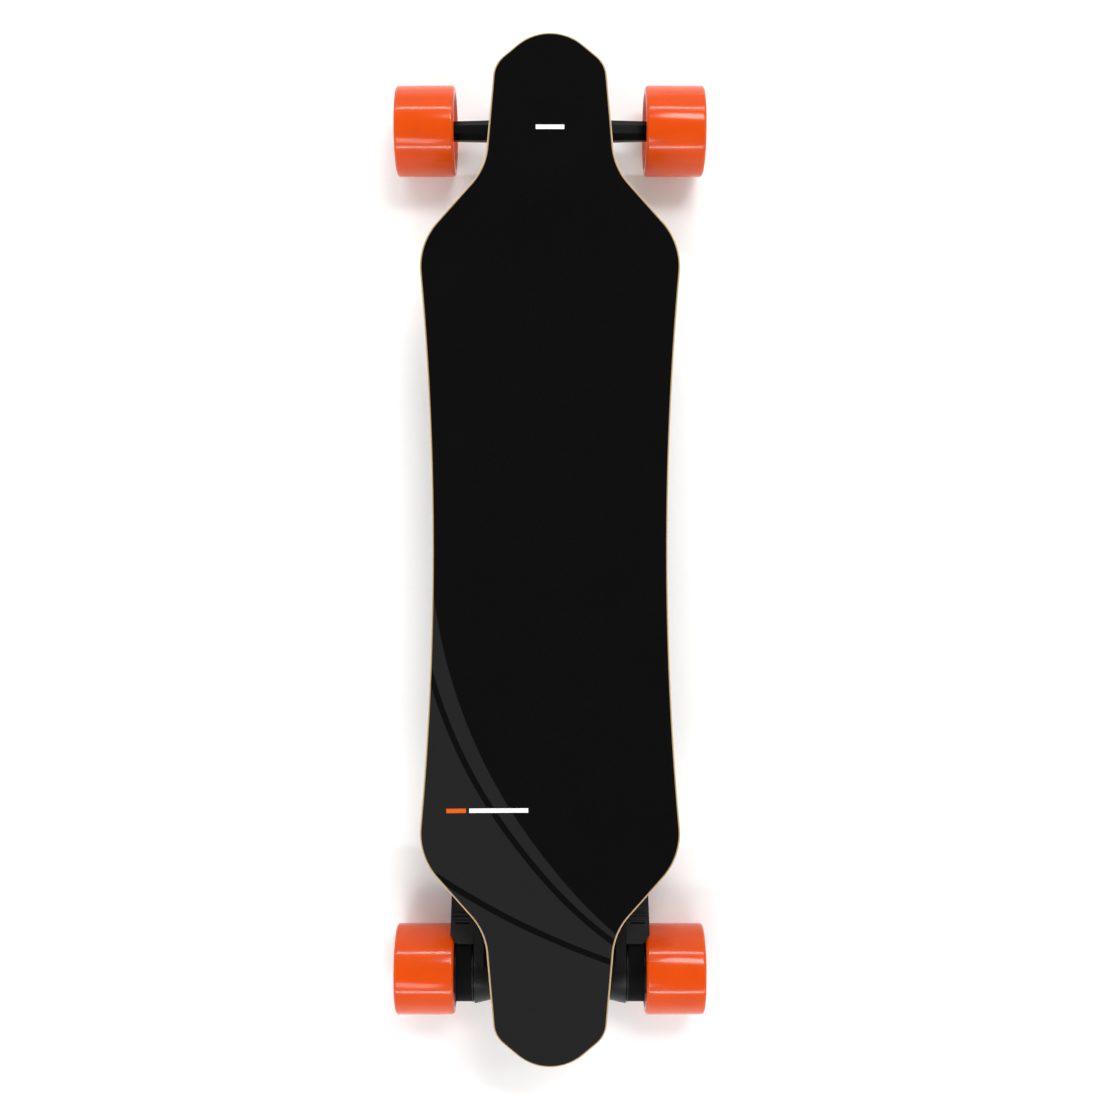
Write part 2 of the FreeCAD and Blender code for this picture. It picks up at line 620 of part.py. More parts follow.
def make_motor_mount():
    """Clamp round the hanger bar, flared outward, and the plate that carries the motor."""
    flare_in, flare_out, axle_end, motor_end = 28.2, 32.2, 29.5, 25.6
    flare = Part.makeCone(flare_in, flare_out, MOUNT_OUT - CLAMP_IN, Vector(0, CLAMP_IN, 0),
                          Vector(0, 1, 0))
    plate = capsule(axle_end, motor_end, MOUNT_IN, MOUNT_OUT)
    ring_pocket = tube(27.0, 13.5, MOUNT_OUT - 5, MOUNT_OUT + 1)
    boss_hole = rod(11.2, MOUNT_IN - 1, MOUNT_OUT + 1, MOTOR_X)
    web_pocket = side_plate([(34, -13), (52, -12), (52, 12), (34, 13)], MOUNT_OUT - 4, MOUNT_OUT + 1)
    relief = [ring_pocket, boss_hole, web_pocket]
    for x, z in motor_bolts():
        relief.append(rod(MOTOR_BOLT_R + 0.1, MOUNT_IN - 1, MOUNT_OUT + 1, x, z))
        relief.append(rod(3.9, MOUNT_OUT - 3.4, MOUNT_OUT + 1, x, z))
    return plate.fuse(flare).cut(relief).cut(bar_half()).removeSplitter()


def make_motor():
    """Fixed can and end bell, fixed stator, and the rotor with its shaft."""
    inner, outer = MOTOR_INNER, MOUNT_IN
    shell = rod(MOTOR_R, inner, outer, MOTOR_X)
    hollow = rod(MOTOR_R - MOTOR_WALL, inner + 3, outer - 3, MOTOR_X)
    bores = [rod(4.3, 0, inner + 3.1, MOTOR_X), rod(7.0, outer - 3.5, outer + 1, MOTOR_X)]
    grooves = [tube(MOTOR_R + 1, MOTOR_R - 0.8, y, y + 1.6, MOTOR_X) for y in range(18, 50, 5)]
    threads = [rod(MOTOR_BOLT_R, outer - 4, outer + 1, x, z) for x, z in motor_bolts()]
    housing = shell.cut([hollow] + bores + grooves + threads)
    gland = Part.makeCylinder(5.0, 9, Vector(MOTOR_X + 14, 44, 14), Vector(1, 0, 1))
    boss = gland.cut(rod(MOTOR_R - 0.8, 0, 80, MOTOR_X))
    housing = housing.fuse(boss).cut(cable_tube(CABLE_R))
    stator = tube(ROTOR_R - 6.8, 8.2, 21, 52, MOTOR_X)
    slot = box(ROTOR_R - 8.4, ROTOR_R - 5.8, 20, 53, -0.8, 0.8)
    for _ in range(12):
        slot.rotate(Vector(0, 0, 0), Vector(0, 1, 0), 30)
        stator = stator.cut(moved(slot, MOTOR_X, 0, 0))
    carrier = tube(8.2, 7.0, 21, outer - 3, MOTOR_X)
    can = tube(ROTOR_R, 17.0, ROTOR_IN + 5, ROTOR_OUT, MOTOR_X)
    bell = tube(ROTOR_R, 3.0, ROTOR_IN, ROTOR_IN + 5.2, MOTOR_X)
    shaft = rod(3.95, inner + 1, BELT_OUT + 0.5, MOTOR_X)
    rotor = can.fuse([bell, shaft]).removeSplitter()
    return housing, stator.fuse(carrier).removeSplitter(), rotor


def make_belt_cover():
    """Shell over the motor pulley, with a wheel clearance arc, and ribs and a vent across its top."""
    nose_r, rear_half = 20.5, 29.5

    def hull(radius, rear_z, y0, y1):
        lean = math.atan2(rear_z - radius, MOTOR_X - COVER_REAR)
        top = (MOTOR_X + radius * math.sin(lean), radius * math.cos(lean))
        points = [(COVER_REAR, rear_z), top, (top[0], -top[1]), (COVER_REAR, -rear_z)]
        return side_plate(points, y0, y1).fuse(rod(radius, y0, y1, MOTOR_X))

    shell = hull(nose_r, rear_half, MOUNT_OUT, COVER_OUT)
    inside = hull(nose_r - COVER_WALL, rear_half - 3.0, MOUNT_OUT - 1, COVER_OUT - 3.0)
    wheel_room = tube(WHEEL_R + 2, 1.0, WHEEL_IN - 0.6, 120)
    ribs = []
    for x in (50.5, 54.0, 57.5):
        rib = side_plate([(x - 1, 20), (x + 1, 20), (x + 0.6, 26.6), (x - 0.6, 26.6)], MOUNT_OUT, 91)
        ribs.append(rib.cut(inside))
    vent = box(48.5, 49.8, 75.5, 89.0, 10, 40)
    corner = Part.Face(Part.makePolygon([Vector(28, 84.9, -50), Vector(41, 96, -50), Vector(28, 96, -50),
                                         Vector(28, 84.9, -50)])).extrude(Vector(0, 0, 100))
    body = shell.fuse(ribs).cut([inside, wheel_room, vent, corner])
    slant = [Vector(0, COVER_OUT + 0.2, -70), Vector(130, COVER_OUT - 3.4, -70), Vector(130, 110, -70),
             Vector(0, 110, -70)]
    outside = Part.Face(Part.makePolygon(slant + slant[:1])).extrude(Vector(0, 0, 140))
    return body.cut(outside).removeSplitter()


def cable_points():
    """The motor cable's route: out of the motor gland, up and back into the enclosure's rear wall."""
    wall = AXLE_X + BOX_REAR
    return [Vector(MOTOR_X + 17.1, 44, 17.1), Vector(MOTOR_X + 33, 44, 33), Vector(wall - 14, 34, 37),
            Vector(wall + 6, 28, 34)]


def rounded_path(points):
    """Straight runs joined by tangent arcs, nearly as large as the shorter run allows."""
    edges, here = [], points[0]
    for before, corner, after in zip(points, points[1:], points[2:]):
        run = min((corner - before).Length, (after - corner).Length)
        turn = (corner - before).getAngle(after - corner)
        start, middle, end = fillet_points(before, corner, after, 0.45 * run / math.tan(turn / 2))
        edges += [Part.makeLine(here, start), Part.Arc(start, middle, end).toShape()]
        here = end
    edges.append(Part.makeLine(here, points[-1]))
    return Part.Wire(edges)


def cable_tube(radius):
    start, after = cable_points()[:2]
    ring = Part.Circle(start, after - start, radius)
    return rounded_path(cable_points()).makePipeShell([Part.Wire(ring.toShape())], True, False)


def make_drive():
    """Both sides of the drive; the left one is mirrored to make the right one."""
    motor, stator, rotor = make_motor()
    head_r, head_in = 3.6, MOUNT_OUT - 3.3
    screws = []
    for x, z in motor_bolts():
        shank = rod(MOTOR_BOLT_R, MOUNT_IN - 3.9, head_in, x, z)
        screws.append(shank.fuse(rod(head_r, head_in, head_in + 3.0, x, z)))
    singles = {"motor_mount": make_motor_mount(), "motor_housing": motor, "belt_cover": make_belt_cover(),
               "belt": make_belt(), "wheel_pulley": make_wheel_pulley(), "rotor": rotor,
               "motor_pulley": make_motor_pulley()}
    for name, shape in singles.items():
        save(name + "_left", moved(shape, -AXLE_X, 0, AXLE_Z))
        save(name + "_right", moved(mirrored(shape), -AXLE_X, 0, AXLE_Z))
    groups = {"stators": [stator], "mount_screws": screws, "motor_cables": [cable_tube(CABLE_R)]}
    for name, shapes in groups.items():
        both = shapes + [mirrored(shape) for shape in shapes]
        save(name, *[moved(shape, -AXLE_X, 0, AXLE_Z) for shape in both])


# ---- enclosure ------------------------------------------------------------


def box_outline(grow):
    """The enclosure's plan: long sides, tapering to narrower rounded ends."""
    half, end_half = BOX_HALF + grow, BOX_END_HALF + grow * 0.7
    front, rear = BOX_FRONT + grow, BOX_REAR - min(grow, 0)
    waist = BOX_TAPER_FROM + grow * 0.4
    corners = [(front, end_half), (waist, half), (-waist, half), (rear, end_half),
               (rear, -end_half), (-waist, -half), (waist, -half), (front, -end_half)]
    points = [Vector(x, y, 0) for x, y in corners]
    edges, ends = [], []
    for index, corner in enumerate(points):
        arc = fillet_points(points[index - 1], corner, points[(index + 1) % len(points)], 22.0)
        edges.append(Part.Arc(*arc).toShape())
        ends.append((arc[0], arc[2]))
    for index, (_, leave) in enumerate(ends):
        edges.append(Part.makeLine(leave, ends[(index + 1) % len(ends)][0]))
    return Part.Wire(Part.__sortEdges__(edges))


def column(wire, z0, z1):
    return moved(Part.Face(wire).extrude(Vector(0, 0, z1 - z0)), 0, 0, z0)


def flange_screws():
    """Screw places round the flange, even along each straight side."""
    inset = FLANGE / 2
    places = [(x, side * (BOX_HALF + inset)) for x in (-170, -85, 0, 85, 170) for side in (1, -1)]
    places += [(BOX_FRONT + inset, side * 24.0) for side in (1, -1)]
    places += [(-232.5, side * 70.0) for side in (1, -1)]
    return places


def enclosure_cuts():
    """Heatsink window, floor grooves, socket, button, gland and screw holes of the shell."""
    rear, front, half = FINS
    floor = BOX_BOTTOM + BOX_WALL
    cuts = [box(rear - 0.3, front + 0.3, -half - 0.3, half + 0.3, BOX_BOTTOM - 1, floor + 1)]
    cuts += [box(-120, 215, y - 1.5, y + 1.5, BOX_BOTTOM - 1, BOX_BOTTOM + 1) for y in range(-60, 61, 20)]
    cuts.append(rod(SOCKET_R, 60, 100, PORT_X, SIDE_Z))
    cuts.append(rod(BUTTON_R + 0.3, 60, 100, BUTTON_X, SIDE_Z))
    for x, y in flange_screws():
        seat = screw_seat(x, y)
        cuts.append(post(SCREW_R + 0.2, x, y, seat - 1, seat + 10))
        cuts.append(post(SCREW_HEAD_R + 0.2, x, y, seat - 5, seat))
    return cuts + [gland_hole(side) for side in (1, -1)]


def screw_seat(x, y):
    """Height of the flat seat that a flange screw's head presses on."""
    return deck_top(x, y) - DECK_THICK - GASKET - FLANGE_THICK + 0.4


def make_enclosure():
    under_deck = DECK_THICK + GASKET
    tall = layer(box_outline(0), under_deck, 60)
    body = tall.common(box(-400, 400, -200, 200, BOX_BOTTOM, 200))
    low_edges = [edge for edge in body.Edges if edge.BoundBox.ZMax < BOX_BOTTOM + 0.01]
    body = body.makeChamfer(6, low_edges)
    flange = layer(box_outline(FLANGE), under_deck, FLANGE_THICK)
    inner = column(box_outline(-BOX_WALL), BOX_BOTTOM + BOX_WALL, 130)
    save("enclosure_shell", body.fuse(flange).cut(inner).cut(enclosure_cuts()).removeSplitter())
    gasket = layer(box_outline(FLANGE), DECK_THICK, GASKET).cut(column(box_outline(-1.0), 50, 130))
    save("enclosure_gasket", gasket.cut([post(SCREW_R, x, y, 60, 130) for x, y in flange_screws()]))
    screws = []
    for x, y in flange_screws():
        seat, tip = screw_seat(x, y), deck_top(x, y) - DECK_THICK + SCREW_BITE
        screws.append(post(SCREW_R, x, y, seat, tip).fuse(post(SCREW_HEAD_R, x, y, seat - SCREW_HEAD, seat)))
    save("enclosure_screws", *screws)


def gland_frame(side):
    """A point on the cable's last run and its direction, in the board's frame."""
    before, last = cable_points()[-2:]
    along = (last - before).normalize()
    point = Vector(last.x - AXLE_X, last.y * side, last.z + AXLE_Z)
    return point, Vector(along.x, along.y * side, along.z)


def gland_hole(side):
    point, along = gland_frame(side)
    return Part.makeCylinder(5.5, 30, point - along * 14, along)


def make_glands():
    glands = []
    for side in (1, -1):
        point, along = gland_frame(side)
        body = Part.makeCylinder(5.5, 14, point - along * 10, along)
        collar = Part.makeCylinder(7.5, 3.2, point - along * 12.0, along)
        wall = box(BOX_REAR, BOX_REAR + 50, -100, 100, 0, 200)
        collar = collar.cut(wall)
        bore = Part.makeCylinder(CABLE_R, 40, point - along * 20, along)
        glands.append(body.fuse(collar).cut(bore))
    save("cable_glands", *glands)


def make_electronics():
    """Battery cells, the two circuit boards and the motor controller's finned heatsink."""
    floor = BOX_BOTTOM + BOX_WALL
    first_row, pitch = -52, 2 * CELL_R + 0.6
    cells = []
    for row in range(CELL_ROWS):
        for y0 in (-CELL_LEN - 1, 1):
            cells.append(rod(CELL_R, y0, y0 + CELL_LEN, first_row + row * pitch, floor + CELL_R + 0.3))
    save("battery_cells", *cells)
    bms_z = floor + 2 * CELL_R + 1.5
    bms_top = bms_z + BOARD_THICK
    bms = box(-40, 80, -28, 28, bms_z, bms_top)
    chips = [box(x, x + 9, -20, -8, bms_top, bms_top + 1.6) for x in range(-30, 70, 16)]
    save("bms_board", bms.fuse(chips).removeSplitter())
    esc_z = floor + 6.0
    esc_top = esc_z + BOARD_THICK
    esc = box(-238, -128, -48, 48, esc_z, esc_top)
    capacitors = [post(5.0, -226 + 13 * i, 36, esc_top, esc_top + 12.4) for i in range(6)]
    switches = [box(-225 + 14 * i, -215 + 14 * i, -30, -16, esc_top, esc_top + 4.4) for i in range(6)]
    save("esc_board", esc.fuse(capacitors + switches).removeSplitter())
    rear, front, half = FINS
    base = box(rear - 8.3, front + 8.3, -half - 6.3, half + 6.3, floor, floor + 3)
    plug = box(rear, front, -half, half, BOX_BOTTOM + 1, floor)
    fins = [box(rear, front, y - 1, y + 1, BOX_BOTTOM - 0.6, BOX_BOTTOM + 1) for y in range(-35, 36, 5)]
    save("esc_heatsink", base.fuse([plug] + fins).removeSplitter())


def make_port():
    """Charging socket, its hinged cap and the hinge pin between two ears."""
    wall = BOX_HALF
    socket = rod(SOCKET_R, wall - 18, wall, PORT_X, SIDE_Z)
    lips = [rod(SOCKET_LIP_R, wall, wall + 1.4, PORT_X, SIDE_Z),
            rod(SOCKET_LIP_R, wall - 8, wall - BOX_WALL, PORT_X, SIDE_Z)]
    socket = socket.fuse(lips).cut(rod(SOCKET_BORE_R, wall - 14, wall + 5, PORT_X, SIDE_Z))
    save("charge_socket", socket.removeSplitter())
    cap_y0, cap_y1, cap_half = wall + 1.8, wall + 4.6, 9.5
    hinge_x, hinge_y = PORT_X - 14.0, wall + 2.7
    barrel_r, barrel_half, pin_r = 2.0, 6.0, 1.0
    lid = box(hinge_x + 2.5, PORT_X + 11, cap_y0, cap_y1, SIDE_Z - cap_half, SIDE_Z + cap_half)
    lid = lid.makeFillet(3, [edge for edge in lid.Edges if edge.BoundBox.YLength > 2])
    barrel = post(barrel_r, hinge_x, hinge_y, SIDE_Z - barrel_half, SIDE_Z + barrel_half)
    web = box(hinge_x, hinge_x + 4, cap_y0 + 0.2, cap_y1 - 0.9, SIDE_Z - barrel_half, SIDE_Z + barrel_half)
    cap = lid.fuse([web, barrel]).cut(post(pin_r + 0.05, hinge_x, hinge_y, 50, 100))
    save("charge_cap", cap.removeSplitter())
    ear_out, ear_in, ear_r = 9.2, barrel_half + 0.4, 1.8
    hinge = post(pin_r, hinge_x, hinge_y, SIDE_Z - ear_out, SIDE_Z + ear_out)
    for z0, z1 in ((SIDE_Z + ear_in, SIDE_Z + ear_out), (SIDE_Z - ear_out, SIDE_Z - ear_in)):
        ear = box(hinge_x - ear_r, hinge_x + ear_r, wall, hinge_y, z0, z1)
        hinge = hinge.fuse([ear, post(ear_r, hinge_x, hinge_y, z0, z1)])
    save("cap_hinge", hinge.removeSplitter())


def make_button():
    """Dished power button, held in by a collar, and the switch behind it."""
    wall = BOX_HALF
    cap = rod(BUTTON_R, wall - 4.0, wall + 2.2, BUTTON_X, SIDE_Z)
    collar = rod(BUTTON_R + 1.4, wall - 5.2, wall - 3.3, BUTTON_X, SIDE_Z)
    dish = Part.makeSphere(40, Vector(BUTTON_X, wall + 41.4, SIDE_Z))
    save("power_button", cap.fuse(collar).cut(dish).removeSplitter())
    save("power_switch", box(BUTTON_X - 8, BUTTON_X + 8, wall - 16, wall - 7.2, SIDE_Z - 8, SIDE_Z + 8))


def make_all():
    os.makedirs("parts", exist_ok=True)
    make_deck()
    make_truck_fasteners()
    make_trucks()
    make_wheels()
    make_drive()
    make_enclosure()
    make_glands()
    make_electronics()
    make_port()
    make_button()


make_all()
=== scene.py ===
import json
import math

import bmesh
import bpy
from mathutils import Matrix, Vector

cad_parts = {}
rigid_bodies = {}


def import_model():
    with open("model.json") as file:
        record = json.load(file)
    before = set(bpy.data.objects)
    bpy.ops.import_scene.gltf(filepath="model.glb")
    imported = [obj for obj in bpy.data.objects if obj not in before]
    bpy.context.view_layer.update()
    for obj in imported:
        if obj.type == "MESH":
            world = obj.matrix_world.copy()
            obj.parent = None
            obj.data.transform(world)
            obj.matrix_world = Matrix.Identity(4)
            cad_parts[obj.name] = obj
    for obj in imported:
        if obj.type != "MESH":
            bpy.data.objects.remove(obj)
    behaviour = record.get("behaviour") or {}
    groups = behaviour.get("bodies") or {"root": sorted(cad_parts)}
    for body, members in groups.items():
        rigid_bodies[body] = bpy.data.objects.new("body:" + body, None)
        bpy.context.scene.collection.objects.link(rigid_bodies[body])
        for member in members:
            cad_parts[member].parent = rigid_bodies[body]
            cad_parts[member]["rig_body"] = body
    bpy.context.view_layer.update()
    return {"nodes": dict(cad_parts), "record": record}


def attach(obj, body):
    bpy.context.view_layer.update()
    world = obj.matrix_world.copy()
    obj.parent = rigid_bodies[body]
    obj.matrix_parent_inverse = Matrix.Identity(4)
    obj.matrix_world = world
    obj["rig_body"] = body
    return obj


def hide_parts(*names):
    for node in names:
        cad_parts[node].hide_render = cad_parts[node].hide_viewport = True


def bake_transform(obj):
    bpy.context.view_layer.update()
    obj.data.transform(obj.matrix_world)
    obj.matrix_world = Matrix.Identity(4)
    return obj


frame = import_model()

# Lengths are in millimetres in this script and become metres where a mesh is made.
MM = 0.001
SIDES = {"left": 1, "right": -1}
ENDS = {"front": 1, "rear": -1}

# ---- the object's driving dimensions --------------------------------------
# the deck's board, and the sheet of grip on it
DECK_THICK, PLIES = 12.0, 8
TOP_ROUND, BOTTOM_ROUND, SANDED = 2.4, 3.4, 0.1    # edge radii, and what sanding took off the outline
TOP_RIM, BOTTOM_RIM = 6.0, 8.0                     # where the flat filling inside the edge begins
GRIP_THICK, GRIP_INSET, GRIP_EDGE = 0.8, 1.8, 0.35
# the deck's top along its length and across it
PLATFORM_TOP, NOSE_RISE = 104.0, 13.5
RISE_START, RISE_LENGTH = 265.0, 80.0
CONCAVE, CONCAVE_HALF = 5.0, 120.0
# the deck's outline: a hollow waist, then straight runs between filleted corners
WAIST_HALF, WAIST_RADIUS = 108.2, 2900.0
SHOULDER_X, SHOULDER_FILLET = 280.7, 60.0
NECK, NECK_FILLET = Vector((348.0, 59.6)), 56.0
NOSE, NOSE_FILLET = Vector((443.2, 51.3)), 26.0
TIP, TIP_FILLET = Vector((485.7, 0.0)), 47.5
# wheels
AXLE_X, AXLE_Z = 399.5, 42.5
WHEEL_R, WHEEL_IN, WHEEL_OUT, TYRE_BORE = 42.5, 90.0, 146.0, 29.5
TYRE_LIP, TYRE_DISH = 6.0, (5.0, 6.0)              # flat face width; how far the inner and outer faces sink
TREAD_ROUND, LIP_ROUND = 3.0, 1.5
BEARING_AT, BEARING_W = (101.0, 118.0), 7.0
SHIELD_IN, SHIELD_OUT, SHIELD_DEEP, SHIELD_HALF = 6.05, 9.35, 0.22, 0.12
# trucks: the kingpin's tilt, the axle's offset from the pivot line, the kingpin's distance along it
STEER_TILT, RAKE, RING_AT = math.radians(45), 7.0, 36.0
KINGPIN_R = 4.75
BUSH_R, BUSH_START, BUSH_END = 11.5, 3.0, 17.0
BUSH_TAPER, BUSH_PINCH = 2.0, 0.5
# motor cables, from the motors ahead of the rear axle to the enclosure's rear wall
MOTOR_X, BOX_REAR = 82.04, -262.0
CABLE_R, CABLE_LENGTH = 3.0, 56.0

# ---- the print on the grip: circles as centre and radius, bars as centre and half size ----
SWEEP_EDGE = ((17.5, -371.6), 481.6)
STRIPES = (((6.1, -326.4), 454.5), ((393.7, -328.2), 818.4))
STRIPE_WIDTH = 5.5
NOSE_BAR = ((385.0, 0.0), (2.0, 13.0))
TAIL_BAR = ((-239.0, 47.0), (2.0, 27.0))
ORANGE_BAR = ((-239.0, 86.0), (2.0, 9.0))


# ---- how the CAD parts are refined ------------------------------------------
WELD_DISTANCE = 2e-6                # metres
FLAT_WITHIN = math.radians(0.6)     # faces that turn less than this are merged
BEVEL_FROM = math.radians(28)       # edges sharper than this are softened
FINISH_SMOOTH, CAD_SMOOTH = 34, 30  # degrees; edges sharper than these stay sharp
SLOT_OF = {part["node"]: part["material_slot"] for part in frame["record"]["subparts"]}


# ---- mesh helpers ---------------------------------------------------------

def add_piece(name, vertices, faces, body, smooth=40.0):
    """A mesh from points in millimetres, shaded smooth except at sharp edges, riding on a body."""
    mesh = bpy.data.meshes.new(name)
    mesh.from_pydata([[c * MM for c in v] for v in vertices], [], faces)
    fix_normals(mesh)
    shade(mesh, smooth)
    piece = bpy.data.objects.new(name, mesh)
    bpy.context.scene.collection.objects.link(piece)
    if body:
        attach(piece, body)
    return piece


def fix_normals(mesh):
    """Turn every face outward."""
    shape = bmesh.new()
    shape.from_mesh(mesh)
    bmesh.ops.recalc_face_normals(shape, faces=shape.faces)
    shape.to_mesh(mesh)
    shape.free()
    mesh.validate()


def shade(mesh, degrees):
    """Smooth shading, with the edges that turn by more than so many degrees kept sharp."""
    mesh.shade_smooth()
    mesh.set_sharp_from_angle(angle=math.radians(degrees))


def dress(piece, material, slot, *nodes):
    """Give a piece its material and hide the CAD nodes it stands for; the slot is not used."""
    piece.data.materials.clear()
    piece.data.materials.append(material)
    if nodes:
        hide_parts(*nodes)
    return piece


def evaluated_mesh(thing):
    """A new mesh of an object as Blender draws it, with its modifiers or as a curve's points."""
    graph = bpy.context.evaluated_depsgraph_get()
    return bpy.data.meshes.new_from_object(thing.evaluated_get(graph))


def apply_modifiers(piece):
    """Give the piece the mesh that its modifiers make, and take them off."""
    mesh = evaluated_mesh(piece)
    piece.modifiers.clear()
    piece.data = mesh


def refined(node, width):
    """A copy of a CAD node with merged flat faces and softly bevelled edges, width in millimetres."""
    source = frame["nodes"][node]
    mesh = source.data.copy()
    shape = bmesh.new()
    shape.from_mesh(mesh)
    bmesh.ops.remove_doubles(shape, verts=shape.verts, dist=WELD_DISTANCE)
    bmesh.ops.dissolve_limit(shape, angle_limit=FLAT_WITHIN, verts=shape.verts, edges=shape.edges)
    many_sided = [face for face in shape.faces if len(face.verts) > 4]
    bmesh.ops.triangulate(shape, faces=many_sided, ngon_method="BEAUTY")
    shape.to_mesh(mesh)
    shape.free()
    mesh.materials.clear()
    piece = bpy.data.objects.new(node + "_finish", mesh)
    bpy.context.scene.collection.objects.link(piece)
    bevel = piece.modifiers.new("edge", "BEVEL")
    bevel.width = width * MM
    bevel.segments = 2
    bevel.limit_method = "ANGLE"
    bevel.angle_limit = BEVEL_FROM
    bevel.use_clamp_overlap = True
    apply_modifiers(piece)
    shade(piece.data, FINISH_SMOOTH)
    normals = piece.modifiers.new("flat faces stay flat", "WEIGHTED_NORMAL")
    normals.keep_sharp = True
    apply_modifiers(piece)
    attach(piece, source["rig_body"])
    return piece


def arc_points(centre, start, end, count):
    """Points along the shorter circular arc from start to end, both included."""
    first, last = start - centre, end - centre
    turn = first.angle(last)
    points = []
    for step in range(count + 1):
        share = step / count
        offset = first * math.sin((1 - share) * turn) + last * math.sin(share * turn)
        points.append(centre + offset / math.sin(turn))
    return points


def rounded_corner(before, corner, after, radius, count):
    """The fillet of a corner between two straight runs."""
    to_before, to_after = (before - corner).normalized(), (after - corner).normalized()
    half = to_before.angle(to_after) / 2
    reach = radius / math.tan(half)
    centre = corner + (to_before + to_after).normalized() * (radius / math.sin(half))
    return arc_points(centre, corner + to_before * reach, corner + to_after * reach, count)


def soft_profile(points, radii, count):
    """A closed profile with some corners rounded; radii has one entry per corner, 0 for a sharp one."""
    result = []
    for index, radius in enumerate(radii):
        corner = Vector(points[index])
        if radius == 0:
            result.append(corner)
            continue
        before, after = Vector(points[index - 1]), Vector(points[(index + 1) % len(points)])
        result += rounded_corner(before, corner, after, radius, count)
    return result


def lathe(profile, segments):
    """Vertices and faces of a closed profile of (radius, y) points turned about the Y axis."""
    vertices, faces = [], []
    rows = len(profile)
    for turn in range(segments):
        angle = 2 * math.pi * turn / segments
        for radius, y in profile:
            vertices.append((radius * math.cos(angle), y, radius * math.sin(angle)))
    for turn in range(segments):
        here, there = turn * rows, (turn + 1) % segments * rows
        for row in range(rows):
            after = (row + 1) % rows
            faces.append((here + row, there + row, there + after, here + after))
    return vertices, faces


def on_axle(vertices, way, side):
    """Points turned about a left wheel's axis, moved to the wheel at one end and side."""
    return [(x + way * AXLE_X, side * y, z + AXLE_Z) for x, y, z in vertices]


# ---- deck and grip --------------------------------------------------------

def deck_top(x, y):
    """The height of the deck's top: a raised nose and tail, and a concave standing platform."""
    climb = min(max((abs(x) - RISE_START) / RISE_LENGTH, 0.0), 1.0)
    smooth = climb * climb * (3 - 2 * climb)
    return PLATFORM_TOP + NOSE_RISE * smooth + CONCAVE * (1 - smooth) * (y / CONCAVE_HALF) ** 2


def straight_run(start, end, step=4.0):
    """Points along a line, about a step apart, both ends included."""
    count = max(1, round((end - start).length / step))
    return [start.lerp(end, i / count) for i in range(count + 1)]


def quarter_outline():
    """The outline from the middle of the waist to the tip, on the +X, +Y side."""
    centre = Vector((0, WAIST_HALF + WAIST_RADIUS))
    shoulder = Vector((SHOULDER_X, centre.y - math.sqrt(WAIST_RADIUS ** 2 - SHOULDER_X ** 2)))
    along = (NECK - shoulder).normalized()
    inward = Vector((along.y, -along.x))
    base = shoulder + inward * SHOULDER_FILLET
    offset = base - centre
    b = offset.dot(along)
    root = math.sqrt(b * b - offset.dot(offset) + (WAIST_RADIUS + SHOULDER_FILLET) ** 2)
    arc_centre = base + along * min(-b - root, -b + root, key=abs)
    start = centre + (arc_centre - centre) * (WAIST_RADIUS / (WAIST_RADIUS + SHOULDER_FILLET))
    end = arc_centre - inward * SHOULDER_FILLET
    neck = rounded_corner(shoulder, NECK, NOSE, NECK_FILLET, 14)
    nose = rounded_corner(NECK, NOSE, TIP, NOSE_FILLET, 10)
    below = Vector((NOSE.x, -NOSE.y))
    tip = rounded_corner(NOSE, TIP, below, TIP_FILLET, 24)[:13]
    runs = [arc_points(centre, Vector((0, WAIST_HALF)), start, 66), arc_points(arc_centre, start, end, 16),
            straight_run(end, neck[0]), neck, straight_run(neck[-1], nose[0]), nose,
            straight_run(nose[-1], tip[0]), tip]
    points = runs[0]
    for run in runs[1:]:
        points = points + run[1:]
    return points


def full_outline():
    """The closed outline, from the nose tip along the left edge to the tail tip and back."""
    quarter = quarter_outline()
    front_left = list(reversed(quarter))
    rear_left = [Vector((-p.x, p.y)) for p in quarter[1:]]
    left = front_left + rear_left
    left[0].y = left[-1].y = 0.0
    right = [Vector((p.x, -p.y)) for p in reversed(left[1:-1])]
    return left + right


def inset_points(outline, inset):
    """The outline moved inward along its normal."""
    total = len(outline)
    moved = []
    for index, point in enumerate(outline):
        along = outline[(index + 1) % total] - outline[index - 1]
        inward = Vector((-along.y, along.x)).normalized()
        moved.append(point + inward * inset)
    return moved


def sheet_mesh(profile, across):
    """A sheet that follows the deck: edge rings from a profile of (inset, depth), and ladder-filled
    top and bottom.  Also returns each vertex's depth below the deck top."""
    outline = full_outline()
    total = len(outline)
    vertices, faces, depths = [], [], []

    def put(x, y, depth):
        vertices.append((x, y, deck_top(x, y) - depth))
        depths.append(depth)
        return len(vertices) - 1

    rings = []
    for inset, depth in profile:
        rings.append([put(p.x, p.y, depth) for p in inset_points(outline, inset)])
    for upper, lower in zip(rings, rings[1:]):
        for index in range(total):
            after = (index + 1) % total
            faces.append((upper[index], lower[index], lower[after], upper[after]))
    half = total // 2
    for ring in (rings[0], rings[-1]):
        depth = depths[ring[0]]
        rows = [[ring[0]]]
        for index in range(1, half):
            left, right = ring[index], ring[total - index]
            x, y = vertices[left][0], vertices[left][1]
            inner = [put(x, y * (1 - 2 * k / across), depth) for k in range(1, across)]
            rows.append([left] + inner + [right])
        rows.append([ring[half]])
        for first, second in zip(rows, rows[1:]):
            for k in range(across):
                a, b = first[min(k, len(first) - 1)], first[min(k + 1, len(first) - 1)]
                c, d = second[min(k + 1, len(second) - 1)], second[min(k, len(second) - 1)]
                faces.append(tuple(dict.fromkeys((a, b, c, d))))
    return vertices, faces, depths


def set_values(piece, name, values):
    """Store a number at each vertex, for the material to read."""
    attribute = piece.data.attributes.new(name, "FLOAT", "POINT")
    attribute.data.foreach_set("value", values)


